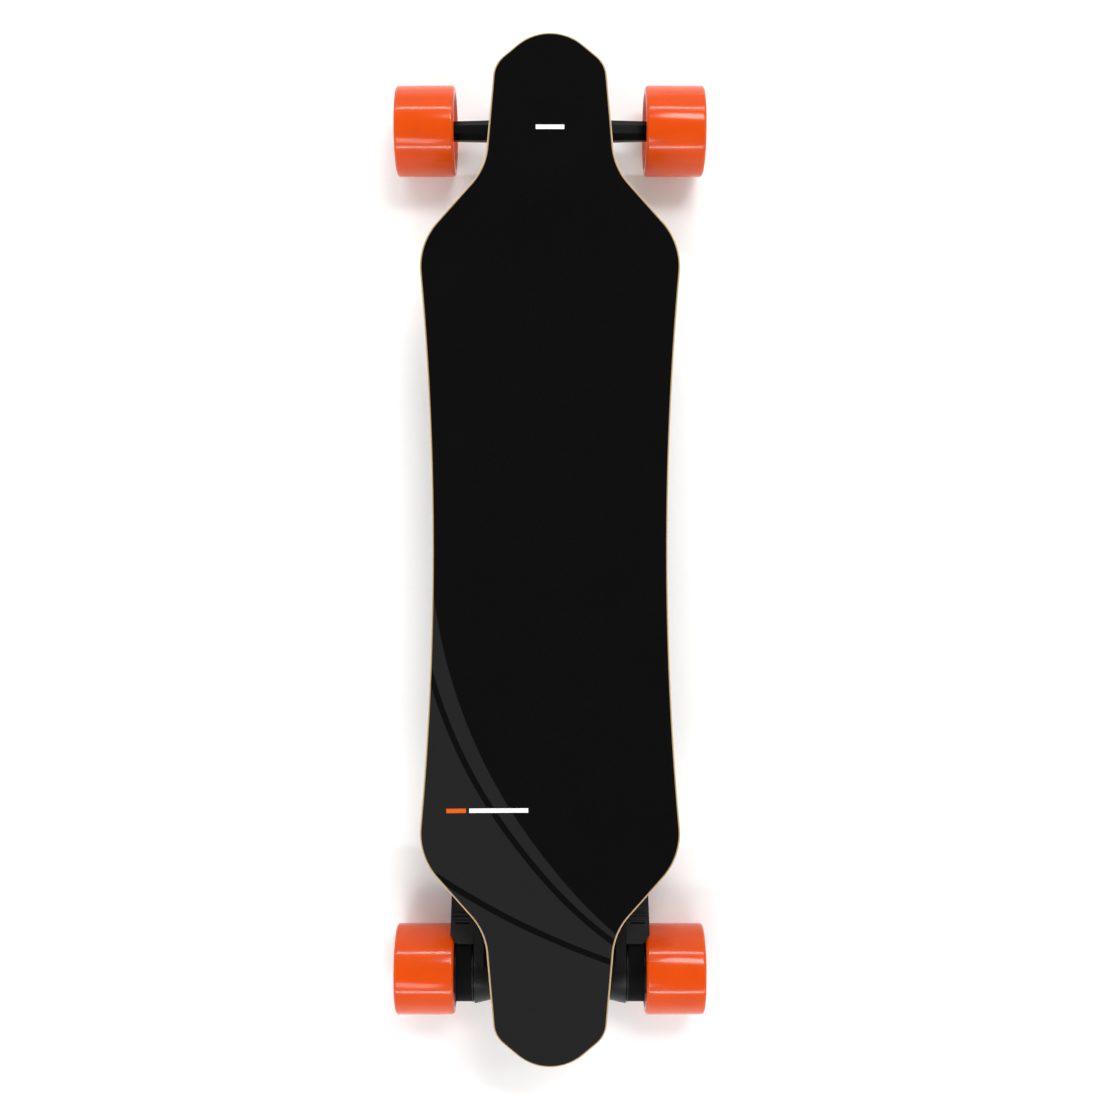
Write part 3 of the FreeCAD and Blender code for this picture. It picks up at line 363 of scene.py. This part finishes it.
def build_deck(materials):
    """The laminated board with its rounded edges, and the printed grip sheet on top."""
    steps = 5
    angles = [math.pi / 2 * step / steps for step in range(steps + 1)]
    profile = [(TOP_RIM, 0.0)]
    for angle in angles:
        profile.append((SANDED + TOP_ROUND * (1 - math.sin(angle)), TOP_ROUND * (1 - math.cos(angle))))
    for angle in angles:
        depth = DECK_THICK - BOTTOM_ROUND * (1 - math.sin(angle))
        profile.append((SANDED + BOTTOM_ROUND * (1 - math.cos(angle)), depth))
    profile.append((BOTTOM_RIM, DECK_THICK))
    vertices, faces, depths = sheet_mesh(profile, across=24)
    deck = add_piece("deck_board", vertices, faces, "board", 50)
    set_values(deck, "depth", [depth * MM for depth in depths])
    dress(deck, materials["maple"], "maple_ply", "deck")

    inset, thick, edge = GRIP_INSET, GRIP_THICK, GRIP_EDGE
    profile = [(inset + 1.5, -thick), (inset + edge, -thick), (inset + 0.1, edge - thick), (inset, 0.02),
               (inset + 4.0, 0.02)]
    vertices, faces, _ = sheet_mesh(profile, across=32)
    grip = add_piece("grip_sheet", vertices, faces, "board", 50)
    dress(grip, materials["grip"], "grip", "grip_tape")


# ---- wheels ---------------------------------------------------------------

def build_wheels(materials):
    """Four cast tyres, and the shields on both faces of every wheel bearing."""
    dish_in, dish_out = TYRE_DISH
    corners = [(TYRE_BORE, WHEEL_IN + dish_in), (WHEEL_R - TYRE_LIP, WHEEL_IN), (WHEEL_R, WHEEL_IN),
               (WHEEL_R, WHEEL_OUT), (WHEEL_R - TYRE_LIP, WHEEL_OUT), (TYRE_BORE, WHEEL_OUT - dish_out)]
    radii = [0, LIP_ROUND, TREAD_ROUND, TREAD_ROUND, LIP_ROUND, 0]
    vertices, faces = lathe(soft_profile(corners, radii, 7), segments=180)
    for end, way in ENDS.items():
        for side, sign in SIDES.items():
            body = f"{end}_{side}_wheel"
            name = f"{end}_{side}_"
            tyre = add_piece(name + "tyre_cast", on_axle(vertices, way, sign), faces, body, 30)
            dress(tyre, materials["urethane"], "orange_urethane", name + "tyre")
            for inner in BEARING_AT:
                for face, depth in ((inner, 1), (inner + BEARING_W, -1)):
                    add_shield(name, body, way, sign, face + depth * SHIELD_DEEP, materials)


def add_shield(name, body, way, sign, face, materials):
    """A black rubber shield in the groove of a bearing face."""
    middle, swell = (SHIELD_IN + SHIELD_OUT) / 2, 1.6 * SHIELD_HALF
    ring = [(SHIELD_IN, face - SHIELD_HALF), (middle, face - swell), (SHIELD_OUT, face - SHIELD_HALF),
            (SHIELD_OUT, face + SHIELD_HALF), (middle, face + swell), (SHIELD_IN, face + SHIELD_HALF)]
    vertices, faces = lathe(ring, segments=64)
    shield = add_piece(f"{name}shield_{round(face)}", on_axle(vertices, way, sign), faces, body)
    dress(shield, materials["rubber"], "black_rubber")


# ---- soft parts: bushings at the trucks, and motor cables ------------------

def steer_point(along, side, height, way):
    """A point in the board's frame, from its place across, beside and up a truck's tilted kingpin."""
    tilt = math.sin(STEER_TILT)    # its cosine too, at 45 degrees
    x = (along - height - RAKE) * tilt
    z = (along + height + RAKE) * tilt
    return (way * (AXLE_X + x), way * side, AXLE_Z + z)


def metres(point):
    """A point in metres, from one in millimetres."""
    return [c * MM for c in point]


def build_bushings(materials):
    """A barrel above each hanger's ring and a cone below it, slightly pinched between their ends."""
    wide = [(KINGPIN_R, BUSH_START), (BUSH_R, BUSH_START), (BUSH_R, BUSH_END), (KINGPIN_R, BUSH_END)]
    narrow = [(KINGPIN_R, -BUSH_START), (BUSH_R, -BUSH_START), (BUSH_R - BUSH_TAPER, -BUSH_END),
              (KINGPIN_R, -BUSH_END)]
    for end, way in ENDS.items():
        for name, corners in (("upper", wide), ("lower", narrow)):
            profile = soft_profile(corners, [0, 0.6, 1.2, 0], 5)
            waisted = []
            for radius, height in densified(profile, 1.5):
                share = (abs(height) - BUSH_START) / (BUSH_END - BUSH_START)
                pinch = BUSH_PINCH * math.sin(math.pi * share) if radius > KINGPIN_R + 1 else 0.0
                waisted.append((radius - pinch, height))
            vertices, faces = lathe(waisted, segments=96)
            spots = [steer_point(RING_AT + x, z, height, way) for x, height, z in vertices]
            piece = add_piece(f"{end}_{name}_bushing", spots, faces, None)
            dress(piece, materials["bushing"], "bushing_urethane", end + "_bushings")
            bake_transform(piece)


def densified(points, step):
    """A closed polygon with extra points along its longer sides."""
    result = []
    for index, point in enumerate(points):
        here, after = Vector(point), Vector(points[(index + 1) % len(points)])
        count = max(1, math.ceil((after - here).length / step))
        result += [tuple(here.lerp(after, k / count)) for k in range(count)]
    return result


def tube_mesh(path, radius, sides=20):
    """A round tube along a path, closed at both ends."""
    last = len(path) - 1
    across = (path[1] - path[0]).normalized().orthogonal().normalized()
    vertices, faces = [], []
    for index, point in enumerate(path):
        tangent = (path[min(index + 1, last)] - path[max(index - 1, 0)]).normalized()
        across = (across - tangent * across.dot(tangent)).normalized()
        up = tangent.cross(across)
        for k in range(sides):
            angle = 2 * math.pi * k / sides
            vertices.append(point + (across * math.cos(angle) + up * math.sin(angle)) * radius)
    for row in range(last):
        here, there = row * sides, (row + 1) * sides
        for k in range(sides):
            after = (k + 1) % sides
            faces.append((here + k, here + after, there + after, there + k))
    faces.append(tuple(range(sides)))
    faces.append(tuple(last * sides + k for k in range(sides)))
    return vertices, faces


def smooth_route(points):
    """Points along the NURBS line of a route, in millimetres."""
    curve = bpy.data.curves.new("route", "CURVE")
    curve.dimensions = "3D"
    curve.resolution_u = 12
    spline = curve.splines.new("NURBS")
    spline.points.add(len(points) - 1)
    for spot, point in zip(spline.points, points):
        spot.co = (*metres(point), 1.0)
    spline.order_u = 3
    spline.use_endpoint_u = True
    holder = bpy.data.objects.new("route", curve)
    bpy.context.scene.collection.objects.link(holder)
    line = evaluated_mesh(holder)
    path = [v.co / MM for v in line.vertices]
    bpy.data.objects.remove(holder)
    bpy.data.curves.remove(curve)
    bpy.data.meshes.remove(line)
    return path


def build_cables(materials):
    """Each motor's cable; the gland in the enclosure holds its last stretch straight."""
    wall = AXLE_X + BOX_REAR
    # ahead of the rear axle, out from the middle, above the axle
    route = [(MOTOR_X + 17.1, 44, 17.1), (MOTOR_X + 33, 44, 33), (wall - 14, 34, 37), (wall + 6, 28, 34)]
    for side, sign in SIDES.items():
        points = [Vector((x - AXLE_X, sign * y, z + AXLE_Z)) for x, y, z in route]
        mouth = points[2].lerp(points[3], 0.45)
        path = smooth_route(points[:3] + [mouth, points[3]])
        vertices, faces = tube_mesh(path, CABLE_R)
        cable = add_piece(f"motor_cable_{side}", vertices, faces, None, 60)
        dress(cable, materials["rubber"], "black_rubber", "motor_cables")
        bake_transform(cable)


# ---- finished copies of the CAD parts --------------------------------------

# bevel width of each node's edges, in millimetres
EDGE_SOFTNESS = {
    "riser_pads": 0.5, "kingpins": 0.4, "kingpin_hardware": 0.35, "truck_bolts": 0.25,
    "enclosure_shell": 0.7, "enclosure_screws": 0.4, "esc_heatsink": 0.25, "charge_socket": 0.3,
    "cable_glands": 0.4, "power_button": 0.35, "charge_cap": 0.35, "cap_hinge": 0.15, "mount_screws": 0.25,
}
EDGE_SOFTNESS |= {f"{end}_{thing}": width for end in ENDS for thing, width in (
    ("baseplate", 0.8), ("hanger", 0.8), ("axle", 0.5), ("axle_hardware", 0.25))}
EDGE_SOFTNESS |= {f"{thing}_{side}": width for side in SIDES for thing, width in (
    ("motor_mount", 0.7), ("motor_housing", 0.35), ("belt_cover", 0.9), ("wheel_pulley", 0.2),
    ("motor_pulley", 0.2), ("rotor", 0.4))}
EDGE_SOFTNESS |= {f"{end}_{side}_{thing}": width for end in ENDS for side in SIDES for thing, width in (
    ("core", 0.5), ("bearings", 0.25))}


def build_finished(materials):
    """Replace each node in the table with its bevelled copy, in the same look."""
    for name, width in EDGE_SOFTNESS.items():
        slot = SLOT_OF[name]
        dress(refined(name, width), materials[look_of(name, slot)], slot, name)


# ---- materials ------------------------------------------------------------

def new_material(name, **values):
    """A material, its node tree and its shader; values are the shader's own, by socket name."""
    material = bpy.data.materials.new(name)
    material.use_nodes = True
    shader = material.node_tree.nodes["Principled BSDF"]
    for socket, value in values.items():
        shader.inputs[socket.replace("_", " ")].default_value = value
    return material, material.node_tree, shader


def node(tree, kind, inputs=None, output=0, **settings):
    """Add a node, set or link its inputs, and return one of its outputs."""
    made = tree.nodes.new("ShaderNode" + kind)
    for key, value in settings.items():
        setattr(made, key, value)
    for key, value in (inputs or {}).items():
        if isinstance(value, bpy.types.NodeSocket):
            tree.links.new(value, made.inputs[key])
        else:
            made.inputs[key].default_value = value
    return made.outputs[output]


def place(tree):
    """The point on the object, in metres."""
    return node(tree, "TexCoord", output="Object")


def stretched(tree, x, y, z):
    """The point on the object, scaled along each axis."""
    return node(tree, "Mapping", {"Vector": place(tree), "Scale": (x, y, z)})


def noise(tree, vector, scale, detail=3.0, rough=0.5):
    """Cloudy noise in the range 0 to 1; scale is its features per metre."""
    return node(tree, "TexNoise", {"Vector": vector, "Scale": scale, "Detail": detail, "Roughness": rough})


def calc(tree, operation, a, b=0.0):
    """One sum of one or two values, each a number or a socket."""
    return node(tree, "Math", {0: a, 1: b}, operation=operation)


def spread(tree, value, low, high, to_low, to_high):
    """A value mapped from the range low to high onto to_low to to_high, and held there beyond it."""
    return node(tree, "MapRange", {"Value": value, "From Min": low, "From Max": high, "To Min": to_low,
                                   "To Max": to_high})


def mixed(tree, factor, first, second):
    """A colour between two, each a colour or a socket."""
    made = tree.nodes.new("ShaderNodeMix")
    made.data_type = "RGBA"
    for index, value in ((0, factor), (6, first), (7, second)):
        if isinstance(value, bpy.types.NodeSocket):
            tree.links.new(value, made.inputs[index])
        else:
            made.inputs[index].default_value = value
    return made.outputs[2]


def link(tree, value, shader, socket):
    """Feed a value to one of the shader's sockets."""
    tree.links.new(value, shader.inputs[socket])


def bump(tree, shader, height, distance, strength=1.0):
    """Relief from a height in the range 0 to 1; distance in millimetres."""
    normal = node(tree, "Bump", {"Height": height, "Distance": distance * MM, "Strength": strength})
    link(tree, normal, shader, "Normal")


def maple_material():
    """Maple plies with dark glue seams and long fibres, darker brown in the top 0.8 mm."""
    material, tree, shader = new_material("laminated_maple", Roughness=0.42, Coat_Weight=0.35,
                                          Coat_Roughness=0.18, Specular_IOR_Level=0.4)
    depth = node(tree, "Attribute", output="Fac", attribute_name="depth")
    ply = DECK_THICK * MM / PLIES
    layer = calc(tree, "DIVIDE", depth, ply)
    tone = node(tree, "TexWhiteNoise", {"W": calc(tree, "FLOOR", layer)}, noise_dimensions="1D")
    seam = calc(tree, "GREATER_THAN", calc(tree, "FRACT", calc(tree, "ADD", layer, 0.0001)), 0.9)
    seam = calc(tree, "MULTIPLY", seam, calc(tree, "LESS_THAN", layer, PLIES - 0.5))
    fibres = noise(tree, stretched(tree, 6, 260, 260), 1.0, 6.0, 0.65)
    figure = noise(tree, stretched(tree, 3.2, 22, 22), 1.0, 3.0, 0.5)
    base = mixed(tree, spread(tree, figure, 0.35, 0.65, 0, 1), (0.80, 0.65, 0.42, 1), (0.68, 0.53, 0.31, 1))
    base = mixed(tree, spread(tree, fibres, 0.3, 0.75, 0, 0.5), base, (0.46, 0.32, 0.17, 1))
    base = mixed(tree, spread(tree, tone, 0, 1, 0, 0.3), base, (0.54, 0.40, 0.22, 1))
    base = mixed(tree, calc(tree, "MULTIPLY", seam, 0.55), base, (0.20, 0.10, 0.04, 1))
    # darker brown over the top 0.8 mm of the edge, next to the grip
    top_brown_band = spread(tree, depth, 0.7 * MM, 0.9 * MM, 0.8, 0)
    base = mixed(tree, top_brown_band, base, (0.26, 0.155, 0.05, 1))
    link(tree, base, shader, "Base Color")
    link(tree, spread(tree, fibres, 0.3, 0.7, 0.36, 0.52), shader, "Roughness")
    bump(tree, shader, fibres, 0.05)
    return material


def ring_distance(tree, x, y, centre, radius):
    """Distance outside a circle, in metres; lengths given in millimetres."""
    dx = calc(tree, "SUBTRACT", x, centre[0] * MM)
    dy = calc(tree, "SUBTRACT", y, centre[1] * MM)
    squares = calc(tree, "ADD", calc(tree, "MULTIPLY", dx, dx), calc(tree, "MULTIPLY", dy, dy))
    return calc(tree, "SUBTRACT", calc(tree, "SQRT", squares), radius * MM)


def band(tree, distance, width):
    """1 where the distance is between minus width and 0, with a soft print edge."""
    soft = 0.25 * MM
    outer = spread(tree, distance, -soft, soft, 1, 0)
    inner = spread(tree, distance, -width * MM - soft, -width * MM + soft, 0, 1)
    return calc(tree, "MULTIPLY", outer, inner)


def patch(tree, x, y, centre, half):
    """1 inside a rectangle with its sides along X and Y; lengths in millimetres."""
    inside = 1.0
    for axis, middle, reach in ((x, centre[0], half[0]), (y, centre[1], half[1])):
        away = calc(tree, "ABSOLUTE", calc(tree, "SUBTRACT", axis, middle * MM))
        within = spread(tree, away, (reach - 0.2) * MM, (reach + 0.2) * MM, 1, 0)
        inside = calc(tree, "MULTIPLY", within, inside)
    return inside


def grip_material():
    """Fine grit, black with a dark grey sweep over the tail, cut by two black stripes, and plain bars."""
    material, tree, shader = new_material("printed_grip", Roughness=0.9, Specular_IOR_Level=0.04)
    split = tree.nodes.new("ShaderNodeSeparateXYZ")
    tree.links.new(place(tree), split.inputs[0])
    x, y = split.outputs[0], split.outputs[1]
    sweep = spread(tree, ring_distance(tree, x, y, *SWEEP_EDGE), -0.3 * MM, 0.3 * MM, 0, 1)
    grey = calc(tree, "MULTIPLY", sweep, calc(tree, "LESS_THAN", x, SWEEP_EDGE[0][0] * MM))
    for centre, radius in STRIPES:
        stripe = band(tree, ring_distance(tree, x, y, centre, radius), STRIPE_WIDTH)
        grey = calc(tree, "MULTIPLY", grey, calc(tree, "SUBTRACT", 1.0, stripe))
    white = calc(tree, "MAXIMUM", patch(tree, x, y, *NOSE_BAR), patch(tree, x, y, *TAIL_BAR))
    orange = patch(tree, x, y, *ORANGE_BAR)
    grit = noise(tree, place(tree), 1500, 2.0, 0.6)
    cloud = noise(tree, place(tree), 18, 3.0)
    fleck = spread(tree, noise(tree, place(tree), 2600, 1.0), 0.66, 0.74, 0, 1)
    base = mixed(tree, grey, (0.0016, 0.0016, 0.0017, 1), (0.0135, 0.0135, 0.014, 1))
    base = mixed(tree, spread(tree, grit, 0.35, 0.7, 0, 0.16), base, (0.012, 0.012, 0.0125, 1))
    base = mixed(tree, calc(tree, "MULTIPLY", fleck, 0.06), base, (0.08, 0.08, 0.082, 1))
    base = mixed(tree, spread(tree, cloud, 0.3, 0.8, 0, 0.10), base, (0.0, 0.0, 0.0, 1))
    worn = spread(tree, grit, 0.3, 0.45, 0.75, 1.0)
    base = mixed(tree, calc(tree, "MULTIPLY", white, worn), base, (0.85, 0.85, 0.85, 1))
    base = mixed(tree, calc(tree, "MULTIPLY", orange, worn), base, (0.62, 0.10, 0.008, 1))
    link(tree, base, shader, "Base Color")
    link(tree, spread(tree, grit, 0.3, 0.7, 0.82, 0.98), shader, "Roughness")
    bump(tree, shader, grit, 0.22, 0.8)
    return material


def urethane_material():
    """Glossy cast orange urethane with a hint of depth and faint handling marks."""
    material, tree, shader = new_material("orange_urethane_cast", Specular_IOR_Level=0.3,
                                          Subsurface_Weight=0.1, Subsurface_Scale=0.004)
    shader.inputs["Subsurface Radius"].default_value = (1.0, 0.35, 0.1)
    cloud = noise(tree, place(tree), 35, 3.0)
    marks = noise(tree, stretched(tree, 900, 60, 900), 1.0, 4.0, 0.6)
    tint = spread(tree, cloud, 0.3, 0.7, 0, 1)
    base = mixed(tree, tint, (0.63, 0.063, 0.0012, 1), (0.58, 0.056, 0.0012, 1))
    link(tree, base, shader, "Base Color")
    link(tree, spread(tree, marks, 0.35, 0.75, 0.11, 0.2), shader, "Roughness")
    bump(tree, shader, cloud, 0.03, 0.3)
    return material


def moulded_material(name, colour, grain, depth, rough, shine=0.2):
    """Moulded plastic with an etched texture: grain per metre, relief in millimetres."""
    material, tree, shader = new_material(name, Specular_IOR_Level=shine)
    etched = noise(tree, place(tree), grain, 2.0, 0.55)
    cloud = noise(tree, place(tree), 40, 2.0)
    lighter = tuple(min(1.0, c * 1.6 + 0.004) for c in colour) + (1,)
    base = mixed(tree, spread(tree, cloud, 0.3, 0.7, 0, 0.35), tuple(colour) + (1,), lighter)
    link(tree, base, shader, "Base Color")
    link(tree, spread(tree, etched, 0.3, 0.7, rough - 0.07, rough + 0.1), shader, "Roughness")
    bump(tree, shader, etched, depth, 0.7)
    return material


def metal_material(name, colour, rough, brushed, relief=0.02):
    """Metal with fine machining lines; brushed is the scale of the lines along x, y and z."""
    material, tree, shader = new_material(name, Metallic=1.0)
    lines = noise(tree, stretched(tree, *brushed), 1.0, 4.0, 0.6)
    cloud = noise(tree, place(tree), 60, 2.0)
    darker = tuple(c * 0.72 for c in colour) + (1,)
    base = mixed(tree, spread(tree, cloud, 0.3, 0.7, 0, 0.5), tuple(colour) + (1,), darker)
    link(tree, base, shader, "Base Color")
    link(tree, spread(tree, lines, 0.3, 0.7, rough - 0.06, rough + 0.1), shader, "Roughness")
    bump(tree, shader, lines, relief, 0.5)
    return material


def coated_material(name, colour, rough, peel, shine=0.17):
    """Powder coat: a satin film with a fine orange peel."""
    material, tree, shader = new_material(name, Specular_IOR_Level=shine)
    grain = noise(tree, place(tree), 1400, 2.0)
    cloud = noise(tree, place(tree), 50, 2.0)
    lighter = tuple(min(1.0, c * 1.8) for c in colour) + (1,)
    base = mixed(tree, spread(tree, cloud, 0.3, 0.75, 0, 0.5), tuple(colour) + (1,), lighter)
    link(tree, base, shader, "Base Color")
    link(tree, spread(tree, grain, 0.3, 0.7, rough - 0.06, rough + 0.08), shader, "Roughness")
    bump(tree, shader, grain, peel, 0.6)
    return material


def make_materials():
    """Every look, by its short name."""
    return {
        "maple": maple_material(),
        "grip": grip_material(),
        "urethane": urethane_material(),
        "nylon": moulded_material("core_nylon", (0.009, 0.009, 0.0095), 900, 0.03, 0.45),
        "plastic": moulded_material("etched_plastic", (0.0045, 0.0045, 0.0048), 1600, 0.08, 0.5),
        "rubber": moulded_material("matt_rubber", (0.004, 0.004, 0.004), 700, 0.05, 0.65),
        "belt": moulded_material("belt_rubber", (0.0012, 0.0012, 0.0013), 1100, 0.05, 0.6, 0.05),
        "bushing": moulded_material("bushing_cast", (0.75, 0.10, 0.012), 60, 0.02, 0.3),
        "alloy": coated_material("black_alloy_coat", (0.0045, 0.0045, 0.0048), 0.34, 0.02),
        "casting": coated_material("black_cast_coat", (0.002, 0.002, 0.0022), 0.32, 0.02, 0.08),
        "steel": metal_material("zinc_steel", (0.62, 0.62, 0.61), 0.3, (400, 900, 400)),
        "dark_steel": metal_material("black_oxide_steel", (0.05, 0.05, 0.052), 0.4, (600, 600, 600)),
        "bare": metal_material("extruded_alloy", (0.66, 0.67, 0.68), 0.34, (30, 1500, 800)),
        "brass": metal_material("insert_brass", (0.80, 0.56, 0.25), 0.3, (800, 800, 200)),
        "copper": metal_material("winding_copper", (0.70, 0.32, 0.18), 0.35, (1500, 200, 1500), 0.1),
        "wrap": moulded_material("cell_wrap", (0.02, 0.14, 0.26), 300, 0.01, 0.3),
        "board": moulded_material("solder_mask", (0.01, 0.10, 0.045), 500, 0.01, 0.35),
    }


SLOT_LOOKS = {
    "maple_ply": "maple", "grip": "grip", "orange_urethane": "urethane", "core_plastic": "nylon",
    "black_alloy": "alloy", "steel": "steel", "black_steel": "dark_steel", "brass": "brass",
    "black_rubber": "rubber", "bushing_urethane": "bushing", "black_plastic": "plastic",
    "cell_wrap": "wrap", "circuit": "board", "bare_alloy": "bare", "copper": "copper",
}


# nodes whose finish is not their slot's, by part of their name; the first that fits counts
OTHER_LOOKS = {"belt_cover": "plastic", "belt_": "belt", "heatsink": "alloy", "_hanger": "casting"}


def look_of(name, slot):
    """The short name of a node's look."""
    for part, look in OTHER_LOOKS.items():
        if part in name:
            return look
    return SLOT_LOOKS[slot]


def paint_frame(materials):
    """Every CAD node that stays takes the look of its record slot."""
    for name, source in frame["nodes"].items():
        look = materials[look_of(name, SLOT_OF[name])]
        source.data.materials.clear()
        source.data.materials.append(look)
        shade(source.data, CAD_SMOOTH)


# ---- stage ----------------------------------------------------------------

# each light: where it stands, its width and height in metres, and its power in watts
LIGHTS = {
    "nose_strip": ((3.83, 0.0, 3.21), (7.0, 0.20), 140),
    "tail_strip": ((-3.83, 0.0, 3.21), (7.0, 0.20), 120),
    "right_softbox": ((2.35, -1.05, 4.41), (1.9, 0.9), 90),
    "left_softbox": ((-2.6, 1.05, 4.2), (1.9, 0.9), 36),
}
LIT_POINT = Vector((0, 0, 0.05))
FLOOR_HALF = 4.5
CAMERA_ABOVE_AXLES, LENS, SENSOR = 1.6, 54.84, 36.0


def build_lights():
    """Rectangular lamps, each turned to face the deck."""
    for name, (spot, size, power) in LIGHTS.items():
        light = bpy.data.lights.new(name, "AREA")
        light.shape = "RECTANGLE"
        light.size, light.size_y = size
        light.energy = power
        lamp = bpy.data.objects.new(name, light)
        lamp.location = spot
        lamp.rotation_euler = (LIT_POINT - Vector(spot)).to_track_quat("-Z", "Y").to_euler()
        bpy.context.scene.collection.objects.link(lamp)


def build_floor():
    """A square of pale paper on the ground."""
    half = FLOOR_HALF
    floor_mesh = bpy.data.meshes.new("floor")
    floor_mesh.from_pydata([(-half, -half, 0), (half, -half, 0), (half, half, 0), (-half, half, 0)], [],
                           [(0, 1, 2, 3)])
    floor = bpy.data.objects.new("floor", floor_mesh)
    bpy.context.scene.collection.objects.link(floor)
    paper, tree, shader = new_material("pale_paper", Roughness=0.9, Specular_IOR_Level=0.1)
    fibre = noise(tree, place(tree), 200, 2.0)
    base = mixed(tree, spread(tree, fibre, 0.3, 0.7, 0, 1), (0.95, 0.95, 0.95, 1), (0.94, 0.94, 0.94, 1))
    link(tree, base, shader, "Base Color")
    floor_mesh.materials.append(paper)


def build_world():
    """An even studio sky: white at the horizon, darker straight above."""
    world = bpy.data.worlds.new("studio")
    world.use_nodes = True
    sky = world.node_tree
    split = sky.nodes.new("ShaderNodeSeparateXYZ")
    sky.links.new(node(sky, "TexCoord", output="Generated"), split.inputs[0])
    wall = spread(sky, split.outputs[2], 0.0, 0.25, 1.0, 0.9)
    ceiling = spread(sky, split.outputs[2], 0.35, 1.0, 0.0, 0.7)
    sky.nodes["Background"].inputs["Color"].default_value = (1, 1, 1, 1)
    sky.links.new(calc(sky, "SUBTRACT", wall, ceiling), sky.nodes["Background"].inputs["Strength"])
    bpy.context.scene.world = world


def build_camera():
    """Straight above the middle of the deck, with the nose at the top of the picture."""
    scene = bpy.context.scene
    camera_data = bpy.data.cameras.new("camera")
    camera_data.sensor_width = SENSOR
    camera_data.lens = LENS
    camera = bpy.data.objects.new("camera", camera_data)
    camera.location = (0.0, 0.0, CAMERA_ABOVE_AXLES + AXLE_Z * MM)
    camera.rotation_euler = (0.0, 0.0, -math.pi / 2)
    scene.collection.objects.link(camera)
    scene.camera = camera
    scene.view_settings.view_transform = "Standard"


materials = make_materials()
paint_frame(materials)
build_deck(materials)
build_wheels(materials)
build_bushings(materials)
build_cables(materials)
build_finished(materials)
build_floor()
build_world()
build_lights()
build_camera()
